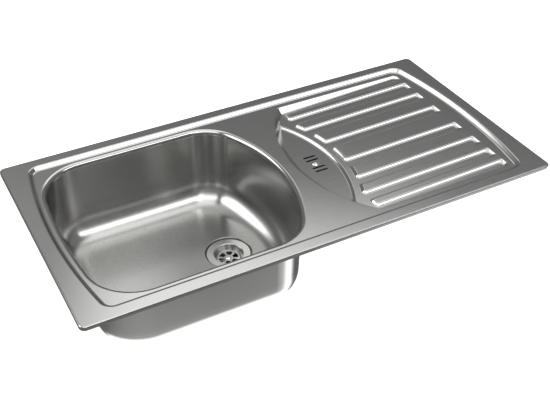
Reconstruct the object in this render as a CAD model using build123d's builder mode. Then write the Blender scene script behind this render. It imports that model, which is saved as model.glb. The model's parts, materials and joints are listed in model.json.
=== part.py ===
from build123d import *
import math
import os

# ----- Driving dimensions, in millimetres -----
# Frame: the origin is the middle of the worktop cut-out, on the worktop's top plane.
# +X runs from the bowl to the drainer, +Y to the back and +Z up.

# Pressed deck
SINK_LENGTH = 860.0
SINK_DEPTH = 440.0
SHEET = 0.8
RIM_HEIGHT = 7.0
RIM_CORNER_R = 10.0
LIP_BEND_R = 2.5
RIM_SEAL_WIDTH = 9.0
RIM_SEAL_INNER_R = 3.0
DAMPING_EDGE = 6.0
DAMPING_CORNER_R = 12.0
DAMPING_THICK = 2.5

# Shallow recess inside the rim, with bowed ends
RIM_END_WIDTH = 25.0
RIM_SIDE_WIDTH = 22.0
RECESS_DEPTH = 6.0
RECESS_BOW_R = 940.0
RECESS_CORNER_R = 22.0
RECESS_TOP_FILLET = 4.0
RECESS_FOOT_FILLET = 5.0

# Bowl: its plan is taken at the foot of the mouth's rounding
BOWL_END_MARGIN = 19.5
BOWL_SIDE_MARGIN = 20.0
BOWL_LENGTH = 392.5
BOWL_LEFT_BOW_R = 930.0
BOWL_RIGHT_BOW_R = 300.0
BOWL_LEFT_CORNER_R = 80.0
BOWL_RIGHT_CORNER_R = 75.0
BOWL_MOUTH_FILLET = 8.0
BOWL_DEPTH = 150.0
BOWL_DRAFT = 2.0
BOWL_COVE_R = 46.0

# Drainer: each pad's width is given from the middle one outwards, and even channels part them
BRIDGE_WIDTH = 27.5
DRAINER_END_MARGIN = 34.0
DRAINER_SIDE_MARGIN = 19.0
DRAINER_BOW_R = 282.0
DRAINER_CORNER_R = 9.0
DRAINER_SLOPE = 1.25
PAD_HEIGHT = 3.7
PAD_CORNER_R = 3.0
PAD_ARC_R = 300.0
PAD_SIDE_MARGIN = 20.0
PAD_WIDTHS = (43.0, 30.0, 20.0, 15.0)
LANDING = 19.0
END_PAD_SETBACK = 24.0
SUMP_DEPTH = 13.0
SUMP_WIDTH = 78.5
SUMP_BOW_R = 269.0

# Overflow slots and screw
OVERFLOW_SETBACK = 45.5
SLOT_LENGTH = 24.6
SLOT_WIDTH = 4.0
SLOT_ROWS = (12.0, 22.5)
OVERFLOW_SCREW_D = 5.0
OVERFLOW_SCREW_HEAD_D = 12.5
OVERFLOW_SCREW_LENGTH = 18.0
SCREW_CROSS_LENGTH = 7.5
SCREW_CROSS_TURN = 20.0
OVERFLOW_SEAL = 2.5
CHAMBER_WIDTH = 44.0
CHAMBER_BREADTH = 66.0
CHAMBER_CORNER_R = 9.0
CHAMBER_FLANGE = 5.5
CHAMBER_WALL = 2.5
CHAMBER_DEPTH = 20.0
BRIDGE_BOSS_D = 12.0
BRIDGE_DEPTH = 15.0
BRIDGE_INSERT_D = 7.2
BRIDGE_INSERT_LENGTH = 9.0

# Waste
WASTE_SETBACK = 104.0
WASTE_RECESS_D = 82.0
WASTE_RECESS_DEPTH = 5.0
WASTE_RECESS_LIP_R = 2.5
WASTE_RECESS_FOOT_R = 1.5
WASTE_HOLE_D = 60.0
FLANGE_D = 80.0
FLANGE_SHEET = 1.2
FLANGE_BEND_R = 1.0
FLANGE_EDGE_R = 0.6
FLANGE_SEAL_INSET = 1.0
FLANGE_MOUTH_D = 53.0
STRAINER_D = 42.0
STRAINER_DROP = 11.0
STRAINER_HOLES = 6
STRAINER_HOLE_IN_R = 8.5
STRAINER_HOLE_OUT_R = 18.0
STRAINER_HOLE_ANGLE = 42.0
STRAINER_HOLE_CORNER_R = 1.4
WASTE_SCREW_D = 6.0
WASTE_SCREW_LENGTH = 30.0
WASTE_SCREW_HEAD_D = 11.5
FLANGE_SEAL = 1.0
BODY_SEAL = 3.0
BODY_D = 77.0
BODY_WALL = 3.0
BODY_RING = 4.0
BODY_RING_THICK = 4.5
BODY_DEPTH = 34.0
BODY_CONE = 10.0
OUTLET_D = 47.8
OUTLET_BORE_D = 40.0
OUTLET_LENGTH = 40.0
BRANCH_DROP = 20.0
BOSS_GAP = 2.0
BOSS_D = 16.0
BOSS_FLOOR = 12.0
BOSS_RIBS = 4
BOSS_RIB_THICK = 2.4
BOSS_RIB_HEIGHT = 16.0
INSERT_D = 10.0
INSERT_LENGTH = 14.0
SCREW_HEAD_HEIGHT = 2.8
SCREW_SLOT_WIDTH = 1.4
SCREW_SLOT_DEPTH = 1.5

# Overflow pipe
PIPE_D = 20.0
PIPE_WALL = 1.5
PIPE_BEND_R = 34.0
SPIGOT_WALL = 2.2
SPIGOT_LENGTH = 24.0
PIPE_ENTRY = 14.0
UNION_D = 34.0
UNION_LENGTH = 20.0
UNION_LIP = 4.0
UNION_WINGS = 8
UNION_WING = 3.0
CONE_SEAL = 2.2
RUNNING_GAP = 0.2

# Fixings: studs stand between the recess's long sides and the bowl or the drainer
STUD_SIDE_INSET = 13.0
STUD_CORNER_SIDE_INSET = 17.0
STUD_CORNER_END_INSET = 37.0
STUD_BRIDGE_INSET = 22.0
STUD_END_INSET = 21.0
STUD_D = 5.0
STUD_LENGTH = 32.0
STUD_COLLAR_D = 8.0
STUD_COLLAR = 1.0
STUD_CHAMFER = 0.6
CLAW_REST_DROP = 6.0
CLAW_THICK = 2.0
CLAW_WIDTH = 12.0
CLAW_REACH = 38.0
CLAW_CRANK = 19.0
CLAW_BEND_X = 10.0
CLAW_FOOT_X = 17.0
CLAW_TOOTH = 4.5
CLAW_NOTCH = 1.6
CLAW_HUB_R = 5.0
CLAW_GAP = 0.08
NUT_AF = 8.0
NUT_THICK = 4.7
NUT_FLANGE_D = 11.0
NUT_FLANGE = 1.2
THREAD_GAP = 0.05

# Pressed walls all lean at one angle, and the fill under the pressing ends this far below the sump
WALL_ANGLE = 45.0
FORM_MARGIN = 8.0
OVERLAP = 3.0
LEVEL_TOLERANCE = 0.01

# ----- Places along the sink, from the bowl's end to the drainer's -----
RECESS_END_X = SINK_LENGTH / 2 - RIM_END_WIDTH
RECESS_HALF_DEPTH = SINK_DEPTH / 2 - RIM_SIDE_WIDTH
BOWL_LEFT_X = BOWL_END_MARGIN - RECESS_END_X
BOWL_RIGHT_X = BOWL_LEFT_X + BOWL_LENGTH
BOWL_HALF_DEPTH = RECESS_HALF_DEPTH - BOWL_SIDE_MARGIN
WASTE_X = BOWL_RIGHT_X - WASTE_SETBACK
DRAINER_LEFT_X = BOWL_RIGHT_X + BRIDGE_WIDTH
DRAINER_RIGHT_X = RECESS_END_X - DRAINER_END_MARGIN
DRAINER_HALF_DEPTH = RECESS_HALF_DEPTH - DRAINER_SIDE_MARGIN
SUMP_EDGE_X = DRAINER_LEFT_X + SUMP_WIDTH
PAD_LEFT_X = SUMP_EDGE_X + LANDING
END_PAD_LEFT_X = PAD_LEFT_X - END_PAD_SETBACK
OVERFLOW_X = DRAINER_LEFT_X + OVERFLOW_SETBACK

# ----- Levels -----
PANEL_Z = RIM_HEIGHT - RECESS_DEPTH
SEAM_Z = PANEL_Z - BOWL_MOUTH_FILLET
FLOOR_Z = PANEL_Z - BOWL_DEPTH
SUMP_Z = PANEL_Z - SUMP_DEPTH
FORM_Z = SUMP_Z - FORM_MARGIN

# ----- Pads: (middle, width) of each from the middle one to the outermost -----
pads_span = DRAINER_HALF_DEPTH - PAD_SIDE_MARGIN
pads_filled = PAD_WIDTHS[0] / 2 + sum(PAD_WIDTHS[1:])
channel = (pads_span - pads_filled) / (len(PAD_WIDTHS) - 1)
pads = [(0.0, PAD_WIDTHS[0])]
pad_edge = PAD_WIDTHS[0] / 2
for width in PAD_WIDTHS[1:]:
    pads.append((pad_edge + channel + width / 2, width))
    pad_edge += channel + width


def bowed_outline(left, right, half_depth, left_bow, right_bow, left_corner, right_corner):
    """Two straight long sides joined by bowed ends, every corner a tangent arc."""
    right_centre = right - right_bow
    left_centre = left + left_bow
    right_x = right_centre + math.sqrt((right_bow - right_corner) ** 2 - (half_depth - right_corner) ** 2)
    left_x = left_centre - math.sqrt((left_bow - left_corner) ** 2 - (half_depth - left_corner) ** 2)
    right_turn = math.degrees(math.atan2(half_depth - right_corner, right_x - right_centre))
    left_turn = math.degrees(math.atan2(half_depth - left_corner, left_centre - left_x))
    Line((left_x, half_depth), (right_x, half_depth))
    CenterArc((right_x, half_depth - right_corner), right_corner, right_turn, 90 - right_turn)
    CenterArc((right_centre, 0), right_bow, -right_turn, 2 * right_turn)
    CenterArc((right_x, right_corner - half_depth), right_corner, -90, 90 - right_turn)
    Line((right_x, -half_depth), (left_x, -half_depth))
    CenterArc((left_x, left_corner - half_depth), left_corner, 180 + left_turn, 90 - left_turn)
    CenterArc((left_centre, 0), left_bow, 180 - left_turn, 2 * left_turn)
    CenterArc((left_x, half_depth - left_corner), left_corner, 90, 90 - left_turn)


def recess_outline(grow):
    """Plan of the recess at its upper edge, grown all round."""
    bowed_outline(
        -RECESS_END_X - grow,
        RECESS_END_X + grow,
        RECESS_HALF_DEPTH + grow,
        RECESS_BOW_R + grow,
        RECESS_BOW_R + grow,
        RECESS_CORNER_R + grow,
        RECESS_CORNER_R + grow,
    )


def bowl_outline(grow):
    """Plan of the bowl's wall at the seam, grown all round."""
    bowed_outline(
        BOWL_LEFT_X - grow,
        BOWL_RIGHT_X + grow,
        BOWL_HALF_DEPTH + grow,
        BOWL_LEFT_BOW_R + grow,
        BOWL_RIGHT_BOW_R + grow,
        BOWL_LEFT_CORNER_R + grow,
        BOWL_RIGHT_CORNER_R + grow,
    )


def drainer_outline(grow):
    """Plan of the drainer at the panel: three straight sides and a bowed left end."""
    half = DRAINER_HALF_DEPTH + grow
    bow = DRAINER_BOW_R + grow
    apex = DRAINER_LEFT_X - grow
    corner_x = apex + bow - math.sqrt(bow**2 - half**2)
    right = DRAINER_RIGHT_X + grow
    Polyline((corner_x, half), (right, half), (right, -half), (corner_x, -half))
    ThreePointArc((corner_x, -half), (apex, 0), (corner_x, half))


def at_height(edges, z):
    """The edges that lie at one height."""
    return edges.filter_by_position(Axis.Z, z - LEVEL_TOLERANCE, z + LEVEL_TOLERANCE)


def sloped_plane(drop):
    """Plane of the pad tops, hinged on the drainer's right edge and lowered by drop."""
    slope = math.radians(DRAINER_SLOPE)
    normal = Vector(-math.sin(slope), 0, math.cos(slope))
    hinge = Vector(DRAINER_RIGHT_X, 0, PANEL_Z)
    return Plane(hinge - normal * drop, x_dir=(math.cos(slope), 0, math.sin(slope)), z_dir=normal)


def drainer_well(inset):
    """The drainer's sloping side walls, taken deeper than its floor."""
    flare = inset * math.tan(math.radians(WALL_ANGLE / 2))
    with BuildPart() as well:
        with BuildSketch(Plane.XY.offset(PANEL_Z - inset)):
            with BuildLine():
                drainer_outline(flare)
            make_face()
        extrude(amount=-(SUMP_DEPTH + OVERLAP), taper=WALL_ANGLE)
        level = well.edges().group_by(Axis.Z)
        corners = well.edges() - level[0] - level[-1]
        fillet(corners, DRAINER_CORNER_R + inset)
    return well.part


def drainer_floor(inset):
    """The drainer's floor: sloping channels, raised pads and the flat sump."""
    flare = inset * math.tan(math.radians(WALL_ANGLE / 2))
    hinge_shift = inset * math.tan(math.radians(DRAINER_SLOPE / 2))
    left = DRAINER_LEFT_X - OVERLAP
    length = DRAINER_RIGHT_X + OVERLAP - left
    with BuildPart() as floor:
        with BuildSketch(sloped_plane(PAD_HEIGHT + inset)):
            with Locations((OVERLAP - length / 2, 0)):
                Rectangle(length, 2 * (DRAINER_HALF_DEPTH + OVERLAP))
        extrude(amount=-SUMP_DEPTH)
        with BuildSketch(Plane.XY.offset(SUMP_Z - inset)):
            with Locations((SUMP_EDGE_X - SUMP_BOW_R, 0)):
                Circle(SUMP_BOW_R + flare)
        extrude(amount=SUMP_DEPTH, taper=-WALL_ANGLE, mode=Mode.SUBTRACT)
        for side in (-1, 1):
            for centre, width in pads if side > 0 else pads[1:]:
                outermost = centre == pads[-1][0]
                pad_left = END_PAD_LEFT_X if outermost else DRAINER_LEFT_X
                span = DRAINER_RIGHT_X - hinge_shift - pad_left - flare
                with BuildSketch(sloped_plane(inset)) as pad:
                    with Locations((-hinge_shift - span / 2, side * centre)):
                        Rectangle(span, width - 2 * flare)
                    if not outermost:
                        with Locations((PAD_LEFT_X - PAD_ARC_R - DRAINER_RIGHT_X, 0)):
                            Circle(PAD_ARC_R + flare, mode=Mode.SUBTRACT)
                    fillet(pad.vertices().sort_by(Axis.X)[:2], PAD_CORNER_R - flare)
                extrude(amount=-(PAD_HEIGHT + OVERLAP / 3), taper=-WALL_ANGLE)
    return floor.part


def pressing(inset):
    """Everything below one skin of the pressed sheet: 0 is the top skin, SHEET the underside."""
    flare = inset * math.tan(math.radians(WALL_ANGLE / 2))
    rim_z = RIM_HEIGHT - inset
    panel_z = PANEL_Z - inset
    well = drainer_well(inset)
    floor = drainer_floor(inset)
    with BuildPart() as form:
        with BuildSketch(Plane.XY.offset(rim_z)):
            RectangleRounded(SINK_LENGTH - 2 * inset, SINK_DEPTH - 2 * inset, RIM_CORNER_R - inset)
        extrude(amount=FORM_Z - inset - rim_z)
        fillet(at_height(form.edges(), rim_z), LIP_BEND_R - inset)
        with BuildSketch(Plane.XY.offset(rim_z)):
            with BuildLine():
                recess_outline(flare)
            make_face()
        extrude(amount=-RECESS_DEPTH, taper=WALL_ANGLE, mode=Mode.SUBTRACT)
        cut_edges = form.edges(Select.LAST)
        fillet(at_height(cut_edges, rim_z), RECESS_TOP_FILLET - inset)
        fillet(at_height(form.edges(), panel_z), RECESS_FOOT_FILLET + inset)
        with BuildSketch(Plane.XY.offset(panel_z)):
            with BuildLine():
                bowl_outline(inset)
            make_face()
        extrude(amount=2 * FORM_Z, mode=Mode.SUBTRACT)
        fillet(at_height(form.edges(Select.LAST), panel_z), BOWL_MOUTH_FILLET - inset)
        add(well, mode=Mode.SUBTRACT)
        add(floor)
    return form.part


def bowl_form(grow):
    """Everything inside one skin of the bowl: 0 is the inner skin, SHEET the outer."""
    floor_z = FLOOR_Z - grow
    with BuildPart() as form:
        with BuildSketch(Plane.XY.offset(SEAM_Z)):
            with BuildLine():
                bowl_outline(grow)
            make_face()
        extrude(amount=floor_z - SEAM_Z, taper=BOWL_DRAFT)
        fillet(at_height(form.edges(), floor_z), BOWL_COVE_R + grow)
        with BuildSketch(Plane.XY.offset(floor_z)):
            with Locations((WASTE_X, 0)):
                Circle(WASTE_RECESS_D / 2 + grow)
        extrude(amount=-WASTE_RECESS_DEPTH)
        recess_edges = form.edges(Select.LAST)
        fillet(at_height(recess_edges, floor_z), WASTE_RECESS_LIP_R - grow)
        fillet(at_height(form.edges(), floor_z - WASTE_RECESS_DEPTH), WASTE_RECESS_FOOT_R + grow)
    return form.part


# ----- Deck: one pressed sheet with a turned-down lip and a collar for the bowl -----
top_skin = pressing(0)
under_skin = pressing(SHEET)

with BuildPart() as deck:
    add(top_skin)
    add(under_skin, mode=Mode.SUBTRACT)
    with BuildSketch():
        Rectangle(2 * SINK_LENGTH, 2 * SINK_DEPTH)
        Rectangle(SINK_LENGTH - 4 * LIP_BEND_R, SINK_DEPTH - 4 * LIP_BEND_R, mode=Mode.SUBTRACT)
    extrude(amount=2 * FORM_Z, mode=Mode.SUBTRACT)
    with BuildSketch(Plane.XY.offset(SEAM_Z)):
        with BuildLine():
            bowl_outline(2 * SHEET)
        make_face()
    extrude(amount=2 * FORM_Z, mode=Mode.SUBTRACT)
    with BuildSketch(Plane.XY.offset(SUMP_Z)):
        for row in SLOT_ROWS:
            with Locations((OVERFLOW_X, row), (OVERFLOW_X, -row)):
                SlotOverall(SLOT_LENGTH, SLOT_WIDTH)
        with Locations((OVERFLOW_X, 0)):
            Circle(OVERFLOW_SCREW_D / 2 + RUNNING_GAP)
    extrude(amount=-2 * SHEET, mode=Mode.SUBTRACT)

# ----- Bowl: a drawn pressing butt-welded to the deck's collar -----
bowl_outside = bowl_form(SHEET)
bowl_inside = bowl_form(0)

with BuildPart() as bowl:
    add(bowl_outside)
    add(bowl_inside, mode=Mode.SUBTRACT)
    with BuildSketch(Plane.XY.offset(FLOOR_Z)):
        with Locations((WASTE_X, 0)):
            Circle(WASTE_HOLE_D / 2)
    extrude(amount=-2 * WASTE_RECESS_DEPTH, mode=Mode.SUBTRACT)

# ----- Foam strip under the rim, from the lip's bend to just past the cut-out's edge -----
seal_length = SINK_LENGTH - 2 * LIP_BEND_R
seal_depth = SINK_DEPTH - 2 * LIP_BEND_R
seal_inner_length = seal_length - 2 * RIM_SEAL_WIDTH
seal_inner_depth = seal_depth - 2 * RIM_SEAL_WIDTH

with BuildPart() as rim_seal:
    with BuildSketch():
        RectangleRounded(seal_length, seal_depth, RIM_CORNER_R - LIP_BEND_R)
        RectangleRounded(seal_inner_length, seal_inner_depth, RIM_SEAL_INNER_R, mode=Mode.SUBTRACT)
    extrude(amount=RIM_HEIGHT - SHEET)

# ----- Sound-deadening pad stuck under the bowl's floor -----
floor_left = BOWL_LEFT_X + (SEAM_Z - FLOOR_Z) * math.tan(math.radians(BOWL_DRAFT)) + BOWL_COVE_R
pad_left = floor_left + DAMPING_EDGE
pad_right = WASTE_X - WASTE_RECESS_D / 2 - 2 * DAMPING_EDGE
pad_depth = 2 * (BOWL_HALF_DEPTH - BOWL_COVE_R - 2 * DAMPING_EDGE)

with BuildPart() as bowl_damping_pad:
    with BuildSketch(Plane.XY.offset(FLOOR_Z - SHEET)):
        with Locations(((pad_left + pad_right) / 2, 0)):
            RectangleRounded(pad_right - pad_left, pad_depth, DAMPING_CORNER_R)
    extrude(amount=-DAMPING_THICK)

# ----- Waste: strainer flange, seals, body, screw and insert, all turned about one axis -----
waste_axis = Axis((WASTE_X, 0, 0), (0, 0, 1))
recess_z = FLOOR_Z - WASTE_RECESS_DEPTH
flange_z = recess_z + FLANGE_SEAL
flange_top = flange_z + FLANGE_SHEET
grid_top = flange_top - STRAINER_DROP
grid_z = grid_top - FLANGE_SHEET
body_seal_z = recess_z - SHEET - BODY_SEAL
body_foot_z = body_seal_z - BODY_DEPTH
outlet_top_z = body_foot_z - BODY_CONE
branch_z = body_seal_z - BRANCH_DROP

with BuildPart() as waste_flange:
    with BuildSketch(Plane.XZ):
        with BuildLine():
            mouth_r = FLANGE_MOUTH_D / 2
            strainer_r = STRAINER_D / 2
            FilletPolyline(
                (WASTE_X, grid_z),
                (WASTE_X + strainer_r + FLANGE_SHEET, grid_z),
                (WASTE_X + mouth_r + FLANGE_SHEET, flange_z),
                (WASTE_X + FLANGE_D / 2, flange_z),
                (WASTE_X + FLANGE_D / 2, flange_top),
                (WASTE_X + mouth_r, flange_top),
                (WASTE_X + strainer_r, grid_top),
                (WASTE_X, grid_top),
                radius=[
                    FLANGE_BEND_R + FLANGE_SHEET,
                    FLANGE_BEND_R,
                    FLANGE_EDGE_R / 3,
                    FLANGE_EDGE_R,
                    FLANGE_BEND_R + FLANGE_SHEET,
                    FLANGE_BEND_R,
                ],
            )
            Line((WASTE_X, grid_top), (WASTE_X, grid_z))
        make_face()
    revolve(axis=waste_axis)
    with BuildSketch(Plane((WASTE_X, 0, grid_top))) as openings:
        for number in range(STRAINER_HOLES):
            start = number * 360 / STRAINER_HOLES - STRAINER_HOLE_ANGLE / 2
            with BuildLine():
                outer_arc = CenterArc((0, 0), STRAINER_HOLE_OUT_R, start, STRAINER_HOLE_ANGLE)
                inner_arc = CenterArc((0, 0), STRAINER_HOLE_IN_R, start, STRAINER_HOLE_ANGLE)
                Line(outer_arc @ 0, inner_arc @ 0)
                Line(outer_arc @ 1, inner_arc @ 1)
            make_face()
        fillet(openings.vertices(), STRAINER_HOLE_CORNER_R)
        Circle(WASTE_SCREW_D / 2 + RUNNING_GAP)
    extrude(amount=-2 * FLANGE_SHEET, mode=Mode.SUBTRACT)

with BuildPart() as waste_flange_seal:
    with BuildSketch(Plane((WASTE_X, 0, recess_z))):
        Circle(FLANGE_D / 2 - FLANGE_SEAL_INSET)
        Circle(WASTE_HOLE_D / 2, mode=Mode.SUBTRACT)
    extrude(amount=FLANGE_SEAL)

with BuildPart() as waste_body_seal:
    with BuildSketch(Plane((WASTE_X, 0, body_seal_z))):
        Circle(BODY_D / 2)
        Circle(WASTE_HOLE_D / 2, mode=Mode.SUBTRACT)
    extrude(amount=BODY_SEAL)

bore_r = OUTLET_BORE_D / 2
cup_r = BODY_D / 2 - BODY_RING
cup_bore_r = cup_r - BODY_WALL
boss_z = grid_z - BOSS_GAP
boss_foot_z = boss_z - INSERT_LENGTH - BOSS_FLOOR
spigot_bore_r = PIPE_D / 2 + RUNNING_GAP
spigot_r = spigot_bore_r + SPIGOT_WALL
pipe_bore_r = PIPE_D / 2 - PIPE_WALL
branch_end_x = WASTE_X + cup_r + SPIGOT_LENGTH
branch_end = Plane((branch_end_x, 0, branch_z), x_dir=(0, 1, 0), z_dir=(1, 0, 0))

with BuildPart() as waste_body:
    with BuildSketch(Plane.XZ):
        with BuildLine():
            Polyline(
                (WASTE_X + cup_bore_r, body_seal_z),
                (WASTE_X + BODY_D / 2, body_seal_z),
                (WASTE_X + BODY_D / 2, body_seal_z - BODY_RING_THICK),
                (WASTE_X + cup_r, body_seal_z - BODY_RING_THICK),
                (WASTE_X + cup_r, body_foot_z),
                (WASTE_X + OUTLET_D / 2, outlet_top_z),
                (WASTE_X + bore_r, outlet_top_z),
                (WASTE_X + cup_bore_r, body_foot_z + BODY_WALL / 2),
                close=True,
            )
        make_face()
    revolve(axis=waste_axis)
    with BuildSketch(branch_end):
        Circle(spigot_r)
    extrude(amount=-(SPIGOT_LENGTH + BODY_WALL / 2))
    with BuildSketch(branch_end):
        Circle(pipe_bore_r)
    extrude(amount=-(SPIGOT_LENGTH + 2 * BODY_WALL), mode=Mode.SUBTRACT)
    with BuildSketch(branch_end):
        Circle(spigot_bore_r)
    extrude(amount=-PIPE_ENTRY, mode=Mode.SUBTRACT)
    with BuildSketch(Plane((WASTE_X, 0, boss_z))):
        Circle(BOSS_D / 2)
    extrude(amount=boss_foot_z - boss_z)
    with BuildSketch(Plane((WASTE_X, 0, boss_foot_z))):
        with PolarLocations((cup_bore_r + BOSS_D / 2) / 2, BOSS_RIBS, start_angle=180 / BOSS_RIBS):
            Rectangle(cup_bore_r - BOSS_D / 2 + BODY_WALL, BOSS_RIB_THICK)
    extrude(amount=BOSS_RIB_HEIGHT)
    with BuildSketch(Plane((WASTE_X, 0, boss_z))):
        Circle(INSERT_D / 2 + THREAD_GAP)
    extrude(amount=-INSERT_LENGTH, mode=Mode.SUBTRACT)
    with BuildSketch(Plane((WASTE_X, 0, boss_z - INSERT_LENGTH))):
        Circle(WASTE_SCREW_D / 2 + RUNNING_GAP)
    extrude(amount=-BOSS_FLOOR, mode=Mode.SUBTRACT)

# Threaded outlet, moulded by itself and welded to the foot of the body
with BuildPart() as waste_outlet:
    with BuildSketch(Plane((WASTE_X, 0, outlet_top_z))):
        Circle(OUTLET_D / 2)
        Circle(bore_r, mode=Mode.SUBTRACT)
    extrude(amount=-OUTLET_LENGTH)

with BuildPart() as waste_insert:
    with BuildSketch(Plane((WASTE_X, 0, boss_z))):
        Circle(INSERT_D / 2)
        Circle(WASTE_SCREW_D / 2 + THREAD_GAP, mode=Mode.SUBTRACT)
    extrude(amount=-INSERT_LENGTH)


def domed_screw(x, head_z, head_d, shank_d, shank_length):
    """Profile of a round-headed screw standing on its axis, to be turned about it."""
    dome_r = (head_d**2 / 4 + SCREW_HEAD_HEIGHT**2) / (2 * SCREW_HEAD_HEIGHT)
    Polyline(
        (x, head_z + SCREW_HEAD_HEIGHT),
        (x, head_z - shank_length),
        (x + shank_d / 2, head_z - shank_length),
        (x + shank_d / 2, head_z),
        (x + head_d / 2, head_z),
    )
    RadiusArc((x + head_d / 2, head_z), (x, head_z + SCREW_HEAD_HEIGHT), -dome_r)


with BuildPart() as waste_screw:
    with BuildSketch(Plane.XZ):
        with BuildLine():
            domed_screw(WASTE_X, grid_top, WASTE_SCREW_HEAD_D, WASTE_SCREW_D, WASTE_SCREW_LENGTH)
        make_face()
    revolve(axis=waste_axis)
    with BuildSketch(Plane((WASTE_X, 0, grid_top + SCREW_HEAD_HEIGHT))):
        Rectangle(2 * WASTE_SCREW_HEAD_D, SCREW_SLOT_WIDTH)
    extrude(amount=-SCREW_SLOT_DEPTH, mode=Mode.SUBTRACT)

# ----- Overflow: screw, seal, body, insert -----
overflow_axis = Axis((OVERFLOW_X, 0, 0), (0, 0, 1))
overflow_seal_z = SUMP_Z - SHEET - OVERFLOW_SEAL
chamber_z = overflow_seal_z - CHAMBER_DEPTH
spigot_end = Plane((OVERFLOW_X, 0, chamber_z - SPIGOT_LENGTH), x_dir=(1, 0, 0), z_dir=(0, 0, -1))

with BuildPart() as overflow_screw:
    with BuildSketch(Plane.XZ):
        with BuildLine():
            domed_screw(OVERFLOW_X, SUMP_Z, OVERFLOW_SCREW_HEAD_D, OVERFLOW_SCREW_D, OVERFLOW_SCREW_LENGTH)
        make_face()
    revolve(axis=overflow_axis)
    with BuildSketch(Plane((OVERFLOW_X, 0, SUMP_Z + SCREW_HEAD_HEIGHT))):
        Rectangle(SCREW_CROSS_LENGTH, SCREW_SLOT_WIDTH, rotation=SCREW_CROSS_TURN)
        Rectangle(SCREW_SLOT_WIDTH, SCREW_CROSS_LENGTH, rotation=SCREW_CROSS_TURN)
    extrude(amount=-SCREW_SLOT_DEPTH, mode=Mode.SUBTRACT)

with BuildPart() as overflow_seal:
    with BuildSketch(Plane((OVERFLOW_X, 0, overflow_seal_z))):
        RectangleRounded(CHAMBER_WIDTH, CHAMBER_BREADTH, CHAMBER_CORNER_R)
        inner_width = CHAMBER_WIDTH - 2 * CHAMBER_FLANGE
        inner_breadth = CHAMBER_BREADTH - 2 * CHAMBER_FLANGE
        RectangleRounded(inner_width, inner_breadth, CHAMBER_CORNER_R - CHAMBER_FLANGE / 2, mode=Mode.SUBTRACT)
    extrude(amount=OVERFLOW_SEAL)

with BuildPart() as overflow_body:
    with BuildSketch(Plane((OVERFLOW_X, 0, overflow_seal_z))):
        RectangleRounded(CHAMBER_WIDTH, CHAMBER_BREADTH, CHAMBER_CORNER_R)
    extrude(amount=-CHAMBER_WALL)
    with BuildSketch(Plane((OVERFLOW_X, 0, overflow_seal_z))):
        RectangleRounded(inner_width + 2 * CHAMBER_WALL, inner_breadth + 2 * CHAMBER_WALL, CHAMBER_CORNER_R)
    extrude(amount=-CHAMBER_DEPTH)
    with BuildSketch(spigot_end):
        Circle(spigot_r)
    extrude(amount=-(SPIGOT_LENGTH + CHAMBER_WALL))
    with BuildSketch(Plane((OVERFLOW_X, 0, overflow_seal_z))):
        RectangleRounded(inner_width, inner_breadth, CHAMBER_CORNER_R - CHAMBER_FLANGE / 2)
    extrude(amount=CHAMBER_WALL - CHAMBER_DEPTH, mode=Mode.SUBTRACT)
    with BuildSketch(spigot_end):
        Circle(pipe_bore_r)
    extrude(amount=-(SPIGOT_LENGTH + 2 * CHAMBER_WALL), mode=Mode.SUBTRACT)
    with BuildSketch(spigot_end):
        Circle(spigot_bore_r)
    extrude(amount=-PIPE_ENTRY, mode=Mode.SUBTRACT)
    with BuildSketch(Plane((OVERFLOW_X, 0, overflow_seal_z))):
        Circle(BRIDGE_BOSS_D / 2)
        Rectangle(CHAMBER_WALL, inner_breadth + CHAMBER_WALL)
    extrude(amount=-BRIDGE_DEPTH)
    with BuildSketch(Plane((OVERFLOW_X, 0, overflow_seal_z))):
        Circle(BRIDGE_INSERT_D / 2 + THREAD_GAP)
    extrude(amount=-BRIDGE_INSERT_LENGTH, mode=Mode.SUBTRACT)
    with BuildSketch(Plane((OVERFLOW_X, 0, overflow_seal_z))):
        Circle(OVERFLOW_SCREW_D / 2 + RUNNING_GAP)
    extrude(amount=-2 * BRIDGE_DEPTH, mode=Mode.SUBTRACT)

with BuildPart() as overflow_insert:
    with BuildSketch(Plane((OVERFLOW_X, 0, overflow_seal_z))):
        Circle(BRIDGE_INSERT_D / 2)
        Circle(OVERFLOW_SCREW_D / 2 + THREAD_GAP, mode=Mode.SUBTRACT)
    extrude(amount=-BRIDGE_INSERT_LENGTH)

# ----- Overflow pipe: a rigid tube with one bend, pushed into a spigot at each end -----
pipe_top_z = chamber_z - SPIGOT_LENGTH + PIPE_ENTRY
pipe_end_x = branch_end_x - PIPE_ENTRY

with BuildPart() as overflow_pipe:
    with BuildLine() as pipe_path:
        FilletPolyline(
            (OVERFLOW_X, 0, pipe_top_z),
            (OVERFLOW_X, 0, branch_z),
            (pipe_end_x, 0, branch_z),
            radius=PIPE_BEND_R,
        )
    with BuildSketch(Plane((OVERFLOW_X, 0, pipe_top_z))):
        Circle(PIPE_D / 2)
        Circle(pipe_bore_r, mode=Mode.SUBTRACT)
    sweep(path=pipe_path.line)

pieces = {
    "deck": deck,
    "bowl": bowl,
    "rim_seal": rim_seal,
    "bowl_damping_pad": bowl_damping_pad,
    "waste_flange": waste_flange,
    "waste_flange_seal": waste_flange_seal,
    "waste_body_seal": waste_body_seal,
    "waste_body": waste_body,
    "waste_outlet": waste_outlet,
    "waste_insert": waste_insert,
    "waste_screw": waste_screw,
    "overflow_screw": overflow_screw,
    "overflow_seal": overflow_seal,
    "overflow_body": overflow_body,
    "overflow_insert": overflow_insert,
    "overflow_pipe": overflow_pipe,
}

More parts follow.
